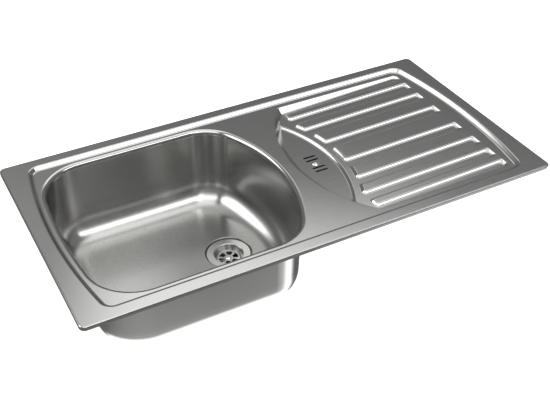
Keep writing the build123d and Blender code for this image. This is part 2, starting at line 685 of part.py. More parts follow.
# ----- Union nuts and cone seals that hold the pipe in its two spigots -----
for place, end in (("upper", spigot_end), ("lower", branch_end)):
    with BuildPart() as cone_seal:
        with BuildSketch(end):
            Circle(spigot_r)
            Circle(PIPE_D / 2 + THREAD_GAP, mode=Mode.SUBTRACT)
        extrude(amount=CONE_SEAL)
    with BuildPart() as union_nut:
        with BuildSketch(end.offset(CONE_SEAL + UNION_LIP - UNION_LENGTH)):
            Circle(UNION_D / 2)
            with PolarLocations(UNION_D / 2, UNION_WINGS):
                Rectangle(2 * UNION_WING, UNION_WING)
        extrude(amount=UNION_LENGTH)
        with BuildSketch(end.offset(CONE_SEAL)):
            Circle(spigot_r + RUNNING_GAP)
        extrude(amount=-UNION_LENGTH, mode=Mode.SUBTRACT)
        with BuildSketch(end.offset(CONE_SEAL)):
            Circle(spigot_bore_r)
        extrude(amount=UNION_LENGTH, mode=Mode.SUBTRACT)
    pieces[f"pipe_cone_seal_{place}"] = cone_seal
    pieces[f"pipe_union_nut_{place}"] = union_nut

# ----- Fixings: welded studs, flange nuts and cranked claws, parked under the panel -----
under_panel_z = PANEL_Z - SHEET
claw_z = under_panel_z - CLAW_REST_DROP - CLAW_THICK
side_y = RECESS_HALF_DEPTH - STUD_SIDE_INSET
corner_x = STUD_CORNER_END_INSET - RECESS_END_X
corner_y = RECESS_HALF_DEPTH - STUD_CORNER_SIDE_INSET
bridge_x = BOWL_RIGHT_X - STUD_BRIDGE_INSET
end_x = DRAINER_RIGHT_X - STUD_END_INSET
middle_x = (bridge_x + end_x) / 2
studs = [(corner_x, corner_y, 180.0), (bridge_x, side_y, 0.0), (middle_x, side_y, 0.0), (end_x, side_y, 0.0)]
fixings = [(x, side * y, turn) for side in (-1, 1) for x, y, turn in studs]

with BuildPart() as fixing_studs:
    with BuildSketch(Plane.XY.offset(under_panel_z)):
        with Locations([(x, y) for x, y, turn in fixings]):
            Circle(STUD_COLLAR_D / 2)
    extrude(amount=-STUD_COLLAR)
    with BuildSketch(Plane.XY.offset(under_panel_z)):
        with Locations([(x, y) for x, y, turn in fixings]):
            Circle(STUD_D / 2)
    extrude(amount=-STUD_LENGTH)
    chamfer(at_height(fixing_studs.edges(), under_panel_z - STUD_LENGTH), STUD_CHAMFER)
pieces["fixing_studs"] = fixing_studs

for number, (x, y, turn) in enumerate(fixings, start=1):
    reach = Vector(math.cos(math.radians(turn)), math.sin(math.radians(turn)), 0)
    side_plane = Plane((x, y, claw_z), x_dir=reach, z_dir=reach.cross(Vector(0, 0, 1)))
    tip_z = -CLAW_CRANK
    with BuildPart() as claw:
        with BuildSketch(side_plane):
            with BuildLine():
                Polyline(
                    (-CLAW_WIDTH / 2, 0),
                    (CLAW_BEND_X, 0),
                    (CLAW_FOOT_X, tip_z),
                    (CLAW_REACH, tip_z),
                    (CLAW_REACH, tip_z + CLAW_TOOTH),
                    (CLAW_REACH - CLAW_THICK, tip_z + CLAW_TOOTH),
                    (CLAW_REACH - CLAW_THICK, tip_z + CLAW_THICK),
                    (CLAW_FOOT_X + CLAW_THICK, tip_z + CLAW_THICK),
                    (CLAW_BEND_X + CLAW_THICK, CLAW_THICK),
                    (-CLAW_WIDTH / 2, CLAW_THICK),
                    close=True,
                )
            make_face()
        extrude(amount=CLAW_WIDTH / 2, both=True)
        hub_corners = claw.edges().filter_by(Axis.Z).sort_by(Axis((x, y, claw_z), reach))[:2]
        fillet(hub_corners, CLAW_HUB_R)
        with BuildSketch(Plane((x, y, claw_z))):
            Circle(STUD_D / 2 + CLAW_GAP)
        extrude(amount=2 * CLAW_THICK, mode=Mode.SUBTRACT)
        with BuildSketch(Plane((x, y, claw_z + tip_z + CLAW_TOOTH), x_dir=reach)):
            with Locations((CLAW_REACH - CLAW_THICK / 2, 0)):
                with GridLocations(0, CLAW_WIDTH / 3, 1, 2):
                    Rectangle(2 * CLAW_THICK, CLAW_NOTCH)
        extrude(amount=CLAW_THICK - CLAW_TOOTH, mode=Mode.SUBTRACT)
    with BuildPart() as nut:
        with BuildSketch(Plane((x, y, claw_z))):
            Circle(NUT_FLANGE_D / 2)
            Circle(STUD_D / 2 + THREAD_GAP, mode=Mode.SUBTRACT)
        extrude(amount=-NUT_FLANGE)
        with BuildSketch(Plane((x, y, claw_z))):
            RegularPolygon(NUT_AF / 2, 6, major_radius=False)
            Circle(STUD_D / 2 + THREAD_GAP, mode=Mode.SUBTRACT)
        extrude(amount=-NUT_THICK)
    pieces[f"fixing_claw_{number}"] = claw
    pieces[f"fixing_nut_{number}"] = nut

os.makedirs("parts", exist_ok=True)
for name, piece in pieces.items():
    piece.part.label = name
    export_step(piece.part, f"parts/{name}.step")
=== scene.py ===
# %% [markdown]
# # Kitchen sink with drainboard
# An inset kitchen sink is one sheet of stainless steel, pressed into a flat rim, a shallow recess, a ribbed
# drainer and a deep bowl. This lesson dresses the sink's packed solids as they look in a studio. The solids
# hold every size, so the first cell loads them and keeps their box.

# %% Load the frame
import json
import math

import bmesh
import bpy
import numpy as np
from mathutils import Matrix, Vector
from mathutils.geometry import delaunay_2d_cdt


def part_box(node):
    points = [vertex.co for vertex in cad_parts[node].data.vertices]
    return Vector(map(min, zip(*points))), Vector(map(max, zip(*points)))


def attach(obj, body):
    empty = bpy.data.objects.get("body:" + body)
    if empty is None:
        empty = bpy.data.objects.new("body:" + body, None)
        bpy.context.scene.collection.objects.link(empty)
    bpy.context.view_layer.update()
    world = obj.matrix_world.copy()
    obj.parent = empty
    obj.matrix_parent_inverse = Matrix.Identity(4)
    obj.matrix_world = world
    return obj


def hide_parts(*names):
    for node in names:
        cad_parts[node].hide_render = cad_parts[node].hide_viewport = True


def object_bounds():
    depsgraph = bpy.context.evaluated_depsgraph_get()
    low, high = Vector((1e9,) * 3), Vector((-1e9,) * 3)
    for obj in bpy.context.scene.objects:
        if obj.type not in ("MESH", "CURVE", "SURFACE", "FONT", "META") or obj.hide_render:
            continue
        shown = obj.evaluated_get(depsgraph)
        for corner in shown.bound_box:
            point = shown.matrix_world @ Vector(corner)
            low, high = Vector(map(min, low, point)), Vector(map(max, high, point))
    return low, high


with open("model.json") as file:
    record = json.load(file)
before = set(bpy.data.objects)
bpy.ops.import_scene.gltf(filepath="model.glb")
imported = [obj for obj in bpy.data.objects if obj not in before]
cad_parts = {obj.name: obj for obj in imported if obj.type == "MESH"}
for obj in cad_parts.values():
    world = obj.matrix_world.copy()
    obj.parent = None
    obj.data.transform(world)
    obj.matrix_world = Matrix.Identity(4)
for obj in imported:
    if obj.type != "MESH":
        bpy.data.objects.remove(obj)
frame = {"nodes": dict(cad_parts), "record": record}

cad_box = [list(corner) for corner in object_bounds()]
scene = bpy.context.scene
MM = 0.001
print("solids:", len(frame["nodes"]), "box:", cad_box)

# %% [markdown]
# ## Camera
# The photograph was taken from above the front left corner with a short telephoto lens. The place and the
# aim were solved from the rim's four straight edges. A camera can be dragged into place by eye, but three
# plain angles and a lens length say more about the view and can be checked.

# %% Camera
CAMERA_PLACE = Vector((-0.6274, -1.1671, 0.9421))
CAMERA_HEADING = math.radians(28.19)
CAMERA_FALL = math.radians(37.25)
CAMERA_ROLL = math.radians(0.12)
SENSOR_WIDTH = 36.0
LENS_LENGTH = 60.76
VIEW_AXIS = Vector((0, 0, -1))


def add_camera():
    """The photograph's camera: heading is turned from +Y towards +X, and fall is below the horizon."""
    data = bpy.data.cameras.new("photo_camera")
    data.sensor_width = SENSOR_WIDTH
    data.lens = LENS_LENGTH
    camera = bpy.data.objects.new("photo_camera", data)
    turn = Matrix.Rotation(-CAMERA_HEADING, 4, "Z") @ Matrix.Rotation(math.pi / 2 - CAMERA_FALL, 4, "X")
    camera.matrix_world = Matrix.Translation(CAMERA_PLACE) @ turn @ Matrix.Rotation(CAMERA_ROLL, 4, "Z")
    scene.collection.objects.link(camera)
    scene.camera = camera
    return camera


camera = add_camera()
print("camera looks along", [round(v, 3) for v in camera.matrix_world.to_quaternion() @ VIEW_AXIS])

# %% [markdown]
# ## Studio floor
# The sink is shown alone on plain white. A curved paper sweep would do for that, but its shade would change
# with the view. So the white is one wide disc just below the waste's outlet, with a little light of its
# own. The steel doesn't mirror it: what the steel shows of the room is drawn in the dome, further down.

# %% Floor
FLOOR_GAP = 0.001
FLOOR_RADIUS = 40.0
FLOOR_SIDES = 96


def new_object(name, mesh):
    """An object at the origin for a mesh that already holds its place."""
    obj = bpy.data.objects.new(name, mesh)
    scene.collection.objects.link(obj)
    return obj


def add_floor(height):
    mesh = bpy.data.meshes.new("studio_floor")
    form = bmesh.new()
    bmesh.ops.create_circle(form, cap_ends=True, segments=FLOOR_SIDES, radius=FLOOR_RADIUS)
    form.to_mesh(mesh)
    form.free()
    mesh.transform(Matrix.Translation((0, 0, height)))
    return new_object("studio_floor", mesh)


floor = add_floor(cad_box[0][2] - FLOOR_GAP)
floor.visible_glossy = False
print("floor at", round(floor.data.vertices[0].co.z, 4))

# %% [markdown]
# ## Sockets that add up
# Every finish, the dome of light and the threads are trees of nodes. Placing each node by hand hides the
# sums that it does. One small class wraps a socket instead, so node maths reads as plain arithmetic: an
# expression such as `1 - mask * 0.5` adds its Math nodes by itself.

# %% A number that adds its nodes


class Value:
    """A number socket that takes part in Python arithmetic."""

    def __init__(self, tree, socket):
        self.tree = tree
        self.socket = socket

    def math(self, operation, *others, clamp=False):
        """A Math node that works on this value and the others."""
        return self.tree.math(operation, self, *others, clamp=clamp)

    def clamped(self):
        """The value kept between 0 and 1."""
        return self.math("ADD", 0.0, clamp=True)

    def __add__(self, other):
        return self.math("ADD", other)

    __radd__ = __add__

    def __mul__(self, other):
        return self.math("MULTIPLY", other)

    __rmul__ = __mul__

    def __sub__(self, other):
        return self.math("SUBTRACT", other)

    def __rsub__(self, other):
        return self.tree.math("SUBTRACT", other, self)

    def __truediv__(self, other):
        return self.math("DIVIDE", other)

    def __rtruediv__(self, other):
        return self.tree.math("DIVIDE", other, self)

    def __neg__(self):
        return self * -1


print("reflected forms:", [name for name in vars(Value) if name.startswith("__r")])

# %% [markdown]
# ## A tree being built
# Any other node comes from one method. It takes the node's type, then its settings, and then what goes into
# its sockets: a number, a colour or another node's result. Settings come first, because some of them change
# which sockets a node has. Nodes that are used often get a short name of their own.

# %% The tree


class Tree:
    """A node tree being built, with one method that adds any node."""

    def __init__(self, tree):
        self.nodes = tree.nodes
        self.links = tree.links

    def feed(self, socket, value):
        """Sets a socket from a number, a colour, a vector or another socket."""
        if isinstance(value, Value):
            value = value.socket
        if isinstance(value, bpy.types.NodeSocket):
            self.links.new(value, socket)
        else:
            socket.default_value = value

    def node(self, kind, inputs=(), output=0, **settings):
        """Adds a node: its settings first, then the values or links of its sockets."""
        node = self.nodes.new(kind)
        for name, value in settings.items():
            setattr(node, name, value)
        for name, value in dict(inputs).items():
            self.feed(node.inputs[name], value)
        return Value(self, node.outputs[output])

    def find(self, kind):
        """The node of a kind that the tree has from the start."""
        return next(node for node in self.nodes if node.type == kind)

    def math(self, operation, *values, clamp=False):
        return self.node("ShaderNodeMath", enumerate(values), operation=operation, use_clamp=clamp)

    def vector_math(self, operation, first, second, output="Value"):
        return self.node("ShaderNodeVectorMath", {0: first, 1: second}, output=output, operation=operation)

    def part(self, vector, axis):
        """One of a vector's three numbers."""
        return self.node("ShaderNodeSeparateXYZ", {0: vector}, output=axis)

    def spread(self, value, low, high, start=0.0, end=1.0, shape="LINEAR"):
        """Maps low..high of a value to start..end."""
        limits = {"Value": value, "From Min": low, "From Max": high, "To Min": start, "To Max": end}
        return self.node("ShaderNodeMapRange", limits, interpolation_type=shape)

    def ease(self, value, low, high, start=0.0, end=1.0):
        """Maps low..high of a value to start..end, gently at both ends."""
        return self.spread(value, low, high, start, end, shape="SMOOTHSTEP")

    def mix(self, factor, first, second):
        """A colour between two colours. The node's colour sockets are its numbers 6 and 7."""
        return self.node("ShaderNodeMix", {0: factor, 6: first, 7: second}, output=2, data_type="RGBA")


print("a tree adds:", [name for name in vars(Tree) if not name.startswith("_")])

# %% [markdown]
# ## A finish being built
# A finish starts from the standard shader and the object's own coordinates. Image textures would need to be
# laid on each piece, and would blur up close, while a noise or a wave in three dimensions runs through the
# metal by itself. What never changes over a piece is a plain number of the shader. What changes is painted.

# %% The finish
NOISE_LOW = 0.3
NOISE_HIGH = 0.7
DARKER = 0.94
LIGHTER = 1.05
finishes = {}


def shade(colour, factor):
    """A colour made darker or lighter, with the fourth number that colour sockets ask for."""
    return [min(part * factor, 1) for part in colour] + [1]


class Finish(Tree):
    """A material being built on the standard shader. It adds itself to the finishes."""

    def __init__(self, name, **constants):
        finishes[name] = bpy.data.materials.new(name)
        finishes[name].use_nodes = True
        super().__init__(finishes[name].node_tree)
        self.shader = self.find("BSDF_PRINCIPLED")
        for socket, value in constants.items():
            self.shader.inputs[socket.replace("_", " ")].default_value = value
        self.place = self.node("ShaderNodeTexCoord", output="Object")

    def noise(self, scale, stretch=(1, 1, 1), detail=2.0, roughness=0.5):
        """A noise whose grain can be stretched along each axis."""
        place = self.node("ShaderNodeMapping", {"Vector": self.place, "Scale": stretch})
        inputs = {"Vector": place, "Scale": scale, "Detail": detail, "Roughness": roughness}
        return self.node("ShaderNodeTexNoise", inputs)

    def cells(self, scale):
        """Distance from the middle of each of many small cells."""
        return self.node("ShaderNodeTexVoronoi", {"Vector": self.place, "Scale": scale}, output="Distance")

    def vary(self, noise, low, high):
        """A number that follows a noise, most of which lies near its middle."""
        return self.spread(noise, NOISE_LOW, NOISE_HIGH, low, high)

    def bump(self, height, distance):
        return self.node("ShaderNodeBump", {"Height": height, "Distance": distance, "Strength": 1.0})

    def paint(self, **inputs):
        for socket, value in inputs.items():
            self.feed(self.shader.inputs[socket.replace("_", " ")], value)


print("a finish adds:", [name for name in vars(Finish) if not name.startswith("_")])

# %% [markdown]
# ## Light
# Polished steel shows little of itself: it shows the room. So the light is a plan of what the steel should
# mirror, drawn by direction on a dome. Each lamp is a soft-edged window with a heading, a height, a half
# width and a half height in degrees, and one is rolled. The window called front_shade takes light away, as
# a black card does in a studio. Area lamps could do the same, but each spot of the sink would mirror them
# elsewhere, while a window of the dome lies in one direction for the whole sink.

# %% The plan of the windows
WINDOWS = {
    "back": dict(heading=37.4, height=73.3, half_width=20.2, half_height=34, soft=3.5, strength=1.1),
    "far_glow": dict(heading=3.8, height=37.7, half_width=7.5, half_height=4, soft=5.8, strength=0.25),
    "front_right": dict(heading=150, height=53, half_width=22, half_height=7, soft=3, strength=3.2, roll=27),
    "front_left": dict(heading=215, height=59, half_width=24, half_height=10, soft=5, strength=2.0),
    "front_shade": dict(heading=152, height=38, half_width=24, half_height=9, soft=7, strength=-0.165),
    "back_left": dict(heading=-58, height=40, half_width=20, half_height=14, soft=5, strength=3.4),
    "low_front": dict(heading=120, height=-41.4, half_width=19, half_height=14, soft=3, strength=0.6),
    "low_right": dict(heading=110, height=-37, half_width=8, half_height=18, soft=7, strength=2.8),
}
print("highest window:", max(WINDOWS, key=lambda name: WINDOWS[name]["height"]))

# %% [markdown]
# A window is flat, so a direction of the dome is laid on its plane: how far it points across is divided by
# how far it points ahead. The edges are eased, and a least depth keeps out what points away from the
# window.

# %% One window
LEAST_DEPTH = 0.05
world = bpy.data.worlds.new("studio")
scene.world = world
world.use_nodes = True
sky = Tree(world.node_tree)
toward = sky.node("ShaderNodeTexCoord", output="Generated")


def along(direction):
    """How far a direction of the dome points along a given one, from -1 to 1."""
    return sky.vector_math("DOT_PRODUCT", toward, direction)


def window(heading, height, half_width, half_height, soft, strength, roll=0):
    """Brightness of one soft-edged window of the dome."""
    heading, height = math.radians(heading), math.radians(height)
    level = math.cos(height)
    ahead = Vector((math.sin(heading) * level, math.cos(heading) * level, math.sin(height)))
    right = Vector((math.cos(heading), -math.sin(heading), 0))
    turn = Matrix.Rotation(math.radians(-roll), 3, ahead)
    right, upward = turn @ right, turn @ right.cross(ahead)
    depth = along(ahead)
    inside = depth.math("GREATER_THAN", LEAST_DEPTH)
    for axis, half in ((right, half_width), (upward, half_height)):
        off = (along(axis) / depth).math("ABSOLUTE")
        outer, inner = math.tan(math.radians(half + soft)), math.tan(math.radians(half - soft))
        inside = inside * sky.ease(off, outer, inner)
    return inside * strength


print("nodes in the sky before its windows:", len(sky.nodes))

# %% [markdown]
# The dome itself is dim and a little darker to the front, which gives the deck its middle grey. It is grey
# below the horizon, and white straight below, which shows in the outside of the bowl. The windows are added
# to that. The camera sees plain white in its place, because the sink is shown on white.

# %% Studio dome
DOME_BACK = 0.2
DOME_FRONT = 0.18
DOME_AXIS = Vector((0.4, 0.9, 0.0))
DOME_BLEND = (-0.3, 0.5)
GROUND_GREY = 0.2
GROUND_BLEND = (0.0, 0.1)
GROUND_WHITE = 2.2
WHITE_BLEND = (0.78, 0.86)
BACKDROP_WHITE = 0.95

downward = along(Vector((0, 0, -1)))
below = sky.spread(downward, *GROUND_BLEND)
dome = sky.ease(along(DOME_AXIS), *DOME_BLEND, DOME_FRONT, DOME_BACK)
ground = dome * (1 - below) + below * GROUND_GREY + sky.ease(downward, *WHITE_BLEND, 0.0, GROUND_WHITE)
light = sum((window(**lamp) for lamp in WINDOWS.values()), start=ground).math("MAXIMUM", 0.0)
seen = sky.node("ShaderNodeLightPath", output="Is Camera Ray")
background = sky.find("BACKGROUND")
sky.feed(background.inputs["Color"], (1.0, 1.0, 1.0, 1.0))
sky.feed(background.inputs["Strength"], light * (1 - seen) + seen * BACKDROP_WHITE)
print("windows in the dome:", len(WINDOWS), "nodes:", len(sky.nodes))

# %% [markdown]
# ## Sizes of the pressings
# The deck and the bowl are drawn afresh here, because the packed solids are made of flat triangles and a
# mirror shows every one. Their sizes are the solids' own: the outer ones are read from the frame, and the
# rest are the same driving sizes. They are in millimetres, as in a press shop, and become metres when a
# mesh is made.

# %% Sizes of the pressings


def box_mm(node):
    """The two corners of a node's box in millimetres."""
    return [[c / MM for c in corner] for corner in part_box(node)]


deck_high = box_mm("deck")[1]
bowl_low, bowl_high = box_mm("bowl")

SHEET = 0.8
RIM_CORNER_R = 10.0
LIP_BEND_R = 2.5
RIM_END_WIDTH = 25.0
RIM_SIDE_WIDTH = 22.0
HALF_LENGTH, HALF_DEPTH, RIM_Z = deck_high

RECESS_DEPTH = 6.0
RECESS_END_X = HALF_LENGTH - RIM_END_WIDTH
RECESS_HALF_DEPTH = HALF_DEPTH - RIM_SIDE_WIDTH
RECESS_BOW_R = 940.0
RECESS_CORNER_R = 22.0
RECESS_TOP_FILLET = 4.0
RECESS_FOOT_FILLET = 5.0
PANEL_Z = RIM_Z - RECESS_DEPTH
WALL_TILT = math.radians(45)

BOWL_LEFT_X = bowl_low[0] + SHEET
BOWL_RIGHT_X = bowl_high[0] - SHEET
BOWL_HALF_DEPTH = bowl_high[1] - SHEET
BOWL_BOWS_R = (930.0, 300.0)
BOWL_CORNERS_R = (80.0, 75.0)
MOUTH_FILLET = 8.0
BOWL_DRAFT = math.radians(2)
BOWL_COVE_R = 46.0
SEAM_Z = bowl_high[2]
WASTE_RECESS_DEPTH = 5.0
FLOOR_Z = bowl_low[2] + SHEET + WASTE_RECESS_DEPTH
print("recess", round(2 * RECESS_END_X), "x", round(2 * RECESS_HALF_DEPTH), "floor at", round(FLOOR_Z, 3))

# %% [markdown]
# ## Plans
# The recess and the bowl share one kind of plan: two straight long sides joined by bowed ends, with round
# corners. Each point of a plan keeps its own centre and direction, so the same plan can be drawn larger or
# smaller and its points still line up. That is what lets one ring be joined to the next.

# %% Plans that can grow


def arc(centre, radius, start, end, steps):
    """Points of a plan along an arc: centres, radii and outward directions. Angles are in degrees."""
    turns = np.radians(np.linspace(start, end, steps + 1))
    directions = np.column_stack((np.cos(turns), np.sin(turns)))
    return np.tile(centre, (steps + 1, 1)), np.full(steps + 1, radius), directions


def inner_arc(*shape):
    """Points of a plan along an arc, without its two ends."""
    return [part[1:-1] for part in arc(*shape)]


def side(start_x, end_x, half_depth, toward, steps):
    """Points of a plan along a straight long side, without its two ends."""
    xs = np.linspace(start_x, end_x, steps + 1)[1:-1]
    centres = np.column_stack((xs, np.zeros_like(xs)))
    return centres, np.full(len(xs), half_depth), np.tile((0.0, toward), (len(xs), 1))


class Plan:
    """A closed outline that can be drawn at any growth, always with the same points."""

    def __init__(self, *stretches):
        self.centres, self.radii, self.directions = (np.concatenate(part) for part in zip(*stretches))

    def ring(self, grow):
        return self.centres + (self.radii + grow)[:, None] * self.directions


def circle_plan(x, radius, steps):
    return Plan([part[:-1] for part in arc((x, 0), radius, 360, 0, steps)])


print("a circle's first points:", circle_plan(0, 10, 8).ring(0.0)[:2].round(2).tolist())

# %% [markdown]
# Two of the plans have bowed ends and one is a rectangle. A corner touches a straight side and a bow, so
# its centre is one corner radius in from the side, and as far from the bow's centre as the bow's radius
# less the corner's. That makes a right triangle, and its missing side is a square root.

# %% The rim, the recess and the bowl's mouth
CORNER_STEPS = 24
BOW_STEPS = 40
SIDE_STEPS = 24


def bowed_plan(left, right, half_depth, bows, corners):
    """Two straight long sides joined by bowed ends, every corner a tangent arc, drawn clockwise."""
    left_bow, right_bow = bows
    left_corner, right_corner = corners
    right_centre = right - right_bow
    left_centre = left + left_bow
    right_y = half_depth - right_corner
    left_y = half_depth - left_corner
    right_x = right_centre + math.sqrt((right_bow - right_corner) ** 2 - right_y**2)
    left_x = left_centre - math.sqrt((left_bow - left_corner) ** 2 - left_y**2)
    right_turn = math.degrees(math.atan2(right_y, right_x - right_centre))
    left_turn = math.degrees(math.atan2(left_y, left_centre - left_x))
    return Plan(
        side(left_x, right_x, half_depth, 1.0, SIDE_STEPS),
        arc((right_x, right_y), right_corner, 90, right_turn, CORNER_STEPS),
        inner_arc((right_centre, 0), right_bow, right_turn, -right_turn, BOW_STEPS),
        arc((right_x, -right_y), right_corner, -right_turn, -90, CORNER_STEPS),
        side(right_x, left_x, half_depth, -1.0, SIDE_STEPS),
        arc((left_x, -left_y), left_corner, -90, left_turn - 180, CORNER_STEPS),
        inner_arc((left_centre, 0), left_bow, left_turn - 180, -180 - left_turn, BOW_STEPS),
        arc((left_x, left_y), left_corner, -180 - left_turn, -270, CORNER_STEPS),
    )


def rectangle_plan(half_length, half_depth, corner):
    """A rectangle with round corners, drawn clockwise."""
    x = half_length - corner
    y = half_depth - corner
    places = enumerate(((x, y), (x, -y), (-x, -y), (-x, y)))
    return Plan(*(arc(place, corner, 90 - 90 * n, -90 * n, CORNER_STEPS) for n, place in places))


rim_plan = rectangle_plan(HALF_LENGTH, HALF_DEPTH, RIM_CORNER_R)
recess_ends = [RECESS_BOW_R] * 2, [RECESS_CORNER_R] * 2
recess_plan = bowed_plan(-RECESS_END_X, RECESS_END_X, RECESS_HALF_DEPTH, *recess_ends)
bowl_plan = bowed_plan(BOWL_LEFT_X, BOWL_RIGHT_X, BOWL_HALF_DEPTH, BOWL_BOWS_R, BOWL_CORNERS_R)
print("points round the rim, recess and bowl:", [len(p.radii) for p in (rim_plan, recess_plan, bowl_plan)])

# %% [markdown]
# Later, some triangles stay and others are left out, by the outline that they lie in. A Boolean could sort
# them, but counting is enough: where the number of an outline's edges to the right of a place is odd, the
# place is inside.

# %% Inside an outline


def points_in(outline, x, y):
    """Which points are inside a closed outline, by counting the edges to their right."""
    inside = np.zeros(len(x), dtype=bool)
    for (ax, ay), (bx, by) in zip(outline, np.roll(outline, -1, axis=0)):
        if ay == by:
            continue
        crosses = (ay > y) != (by > y)
        inside ^= crosses & (x < ax + (y - ay) * (bx - ax) / (by - ay))
    return inside


bowl_middle = np.array([[(BOWL_LEFT_X + BOWL_RIGHT_X) / 2], [0.0]])
print("is the bowl's middle in its plan:", points_in(bowl_plan.ring(0.0), *bowl_middle))

# %% [markdown]
# ## Sheet metal
# A pressing is one skin with a thickness. The skin is gathered patch by patch, each point with the true
# normal of the surface there: bands of rings follow a plan, and fields lie between closed outlines. One big
# grid would be simpler, but none of its lines would follow an edge. Points that meet are welded into one.

# %% The sheet builder
WELD_DIGITS = 4
GRADIENT_STEP = 0.01


class Sheet:
    """One skin of sheet metal in millimetres, gathered patch by patch."""

    def __init__(self):
        self.points = np.empty((0, 3))
        self.normals = np.empty((0, 3))
        self.faces = []

    def add(self, points, normals, faces):
        start = len(self.points)
        self.points = np.vstack((self.points, points))
        self.normals = np.vstack((self.normals, normals))
        self.faces += [tuple(start + corner for corner in face) for face in faces]

    def add_rings(self, plan, profile):
        """A band that follows a plan. Each step of the profile is (growth, height, tilt of the normal)."""
        count = len(plan.directions)
        points, normals, faces = [], [], []
        for grow, height, tilt in profile:
            points.append(np.column_stack((plan.ring(grow), np.full(count, height))))
            outward = plan.directions * math.sin(tilt)
            normals.append(np.column_stack((outward, np.full(count, math.cos(tilt)))))
        for row in range(len(profile) - 1):
            near, far = row * count, (row + 1) * count
            for here in range(count):
                after = (here + 1) % count
                faces.append((near + here, near + after, far + after, far + here))
        self.add(np.vstack(points), np.vstack(normals), faces)

    def add_field(self, lines, height, keep):
        """A patch with one height for each place: lines are drawn on it, and keep says which faces stay."""
        places, edges = [], []
        for points, closed in lines:
            start = len(places)
            places += [Vector(p) for p in points]
            edges += [(start + i, start + i + 1) for i in range(len(points) - 1)]
            if closed:
                edges.append((len(places) - 1, start))
        flat, _, faces, *_ = delaunay_2d_cdt(places, edges, [], 0, 10**-WELD_DIGITS)
        xy = np.array([tuple(p) for p in flat])
        x, y = xy[:, 0], xy[:, 1]
        middles = np.array([xy[list(face)].mean(axis=0) for face in faces])
        stays = keep(middles[:, 0], middles[:, 1])
        slope_x = height(x + GRADIENT_STEP, y) - height(x - GRADIENT_STEP, y)
        slope_y = height(x, y + GRADIENT_STEP) - height(x, y - GRADIENT_STEP)
        normals = np.column_stack((-slope_x, -slope_y, np.full(len(xy), 2 * GRADIENT_STEP)))
        normals /= np.linalg.norm(normals, axis=1)[:, None]
        kept = [face for face, stay in zip(faces, stays) if stay]
        self.add(np.column_stack((xy, height(x, y))), normals, kept)

    def add_level(self, outer, inner, height):
        """A level patch between two closed outlines."""
        self.add_field(
            [(outer, True), (inner, True)],
            lambda x, y: np.full_like(x, height),
            lambda x, y: points_in(outer, x, y) & ~points_in(inner, x, y),
        )

    def welded(self):
        """The skin with one point at each place, and all its faces turned to the side of their normals."""
        keys = np.round(self.points, WELD_DIGITS)
        _, first, place_of = np.unique(keys, axis=0, return_index=True, return_inverse=True)
        place_of = place_of.reshape(-1)
        points, normals, faces = self.points[first], self.normals[first], []
        for face in self.faces:
            corners = [int(place_of[c]) for c in face]
            corners = [c for i, c in enumerate(corners) if c != corners[i - 1]]
            if len(corners) < 3:
                continue
            a, b, c = points[corners[:3]]
            if np.dot(np.cross(b - a, c - b), normals[corners].sum(axis=0)) < 0:
                corners.reverse()
            faces.append(corners)
        return points, normals, faces


print("a sheet can:", [name for name in vars(Sheet) if not name.startswith("_")])

# %% [markdown]
# The underside is the same skin moved down along the normals, and narrow strips close the cut edges.
# Solidify could give the thickness, but it would work the normals out anew from the faces. On polished
# steel the true ones matter more than anything else, so they are set on the finished mesh, corner by
# corner.

# %% From skin to sheet


def pressing(name, sheet, thickness):
    """A sheet with its thickness, as one object."""
    top, normals, faces = sheet.welded()
    count = len(top)
    uses = {}
    for face in faces:
        for i, corner in enumerate(face):
            uses.setdefault(frozenset((face[i - 1], corner)), []).append((face[i - 1], corner))
    cut = [edges[0] for edges in uses.values() if len(edges) == 1]
    under = [[count + c for c in reversed(face)] for face in faces]
    strips = [(b, a, count + a, count + b) for a, b in cut]
    mesh = bpy.data.meshes.new(name)
    places = np.vstack((top, top - normals * thickness)) * MM
    mesh.from_pydata(places.tolist(), [], faces + under + strips)
    mesh.polygons.foreach_set("use_smooth", [True] * len(mesh.polygons))
    mesh.update()
    skin_normals = np.vstack((normals, -normals)).tolist()
    loops = []
    for number, polygon in enumerate(mesh.polygons):
        if number < 2 * len(faces):
            loops += [skin_normals[c] for c in polygon.vertices]
        else:
            loops += [tuple(polygon.normal)] * polygon.loop_total
    mesh.normals_split_custom_set(loops)
    worst = max(len(edges) for edges in uses.values())
    print(name, "faces", len(mesh.polygons), "cut edges", len(cut), "most faces at an edge", worst)
    return new_object(name, mesh)


print("sheet thickness:", SHEET)

# %% [markdown]
# ## Rounded corners
# A press can't fold steel to a sharp corner: every bend has a radius. A Bevel modifier could round a sharp
# fold, but a formula also gives the normals. A bend is written by the sharp corner that it replaces, so its
# sizes stay those of a drawing, and a profile is a row of such bends, from the outside inwards.

# %% Profiles
LIP_STEPS = 8
RECESS_STEPS = 6
MOUTH_STEPS = 14


def bend(corner, start_tilt, end_tilt, radius, steps):
    """Profile of a rounded corner. A negative radius is a hollow corner."""
    low, high = math.sin(start_tilt), math.cos(start_tilt)
    low_end, high_end = math.sin(end_tilt), math.cos(end_tilt)
    scale = -radius / (low * high_end - high * low_end)
    centre_grow = corner[0] + scale * (high_end - high)
    centre_height = corner[1] + scale * (low - low_end)
    return [
        (centre_grow + radius * math.sin(tilt), centre_height + radius * math.cos(tilt), tilt)
        for tilt in np.linspace(start_tilt, end_tilt, steps + 1)
    ]


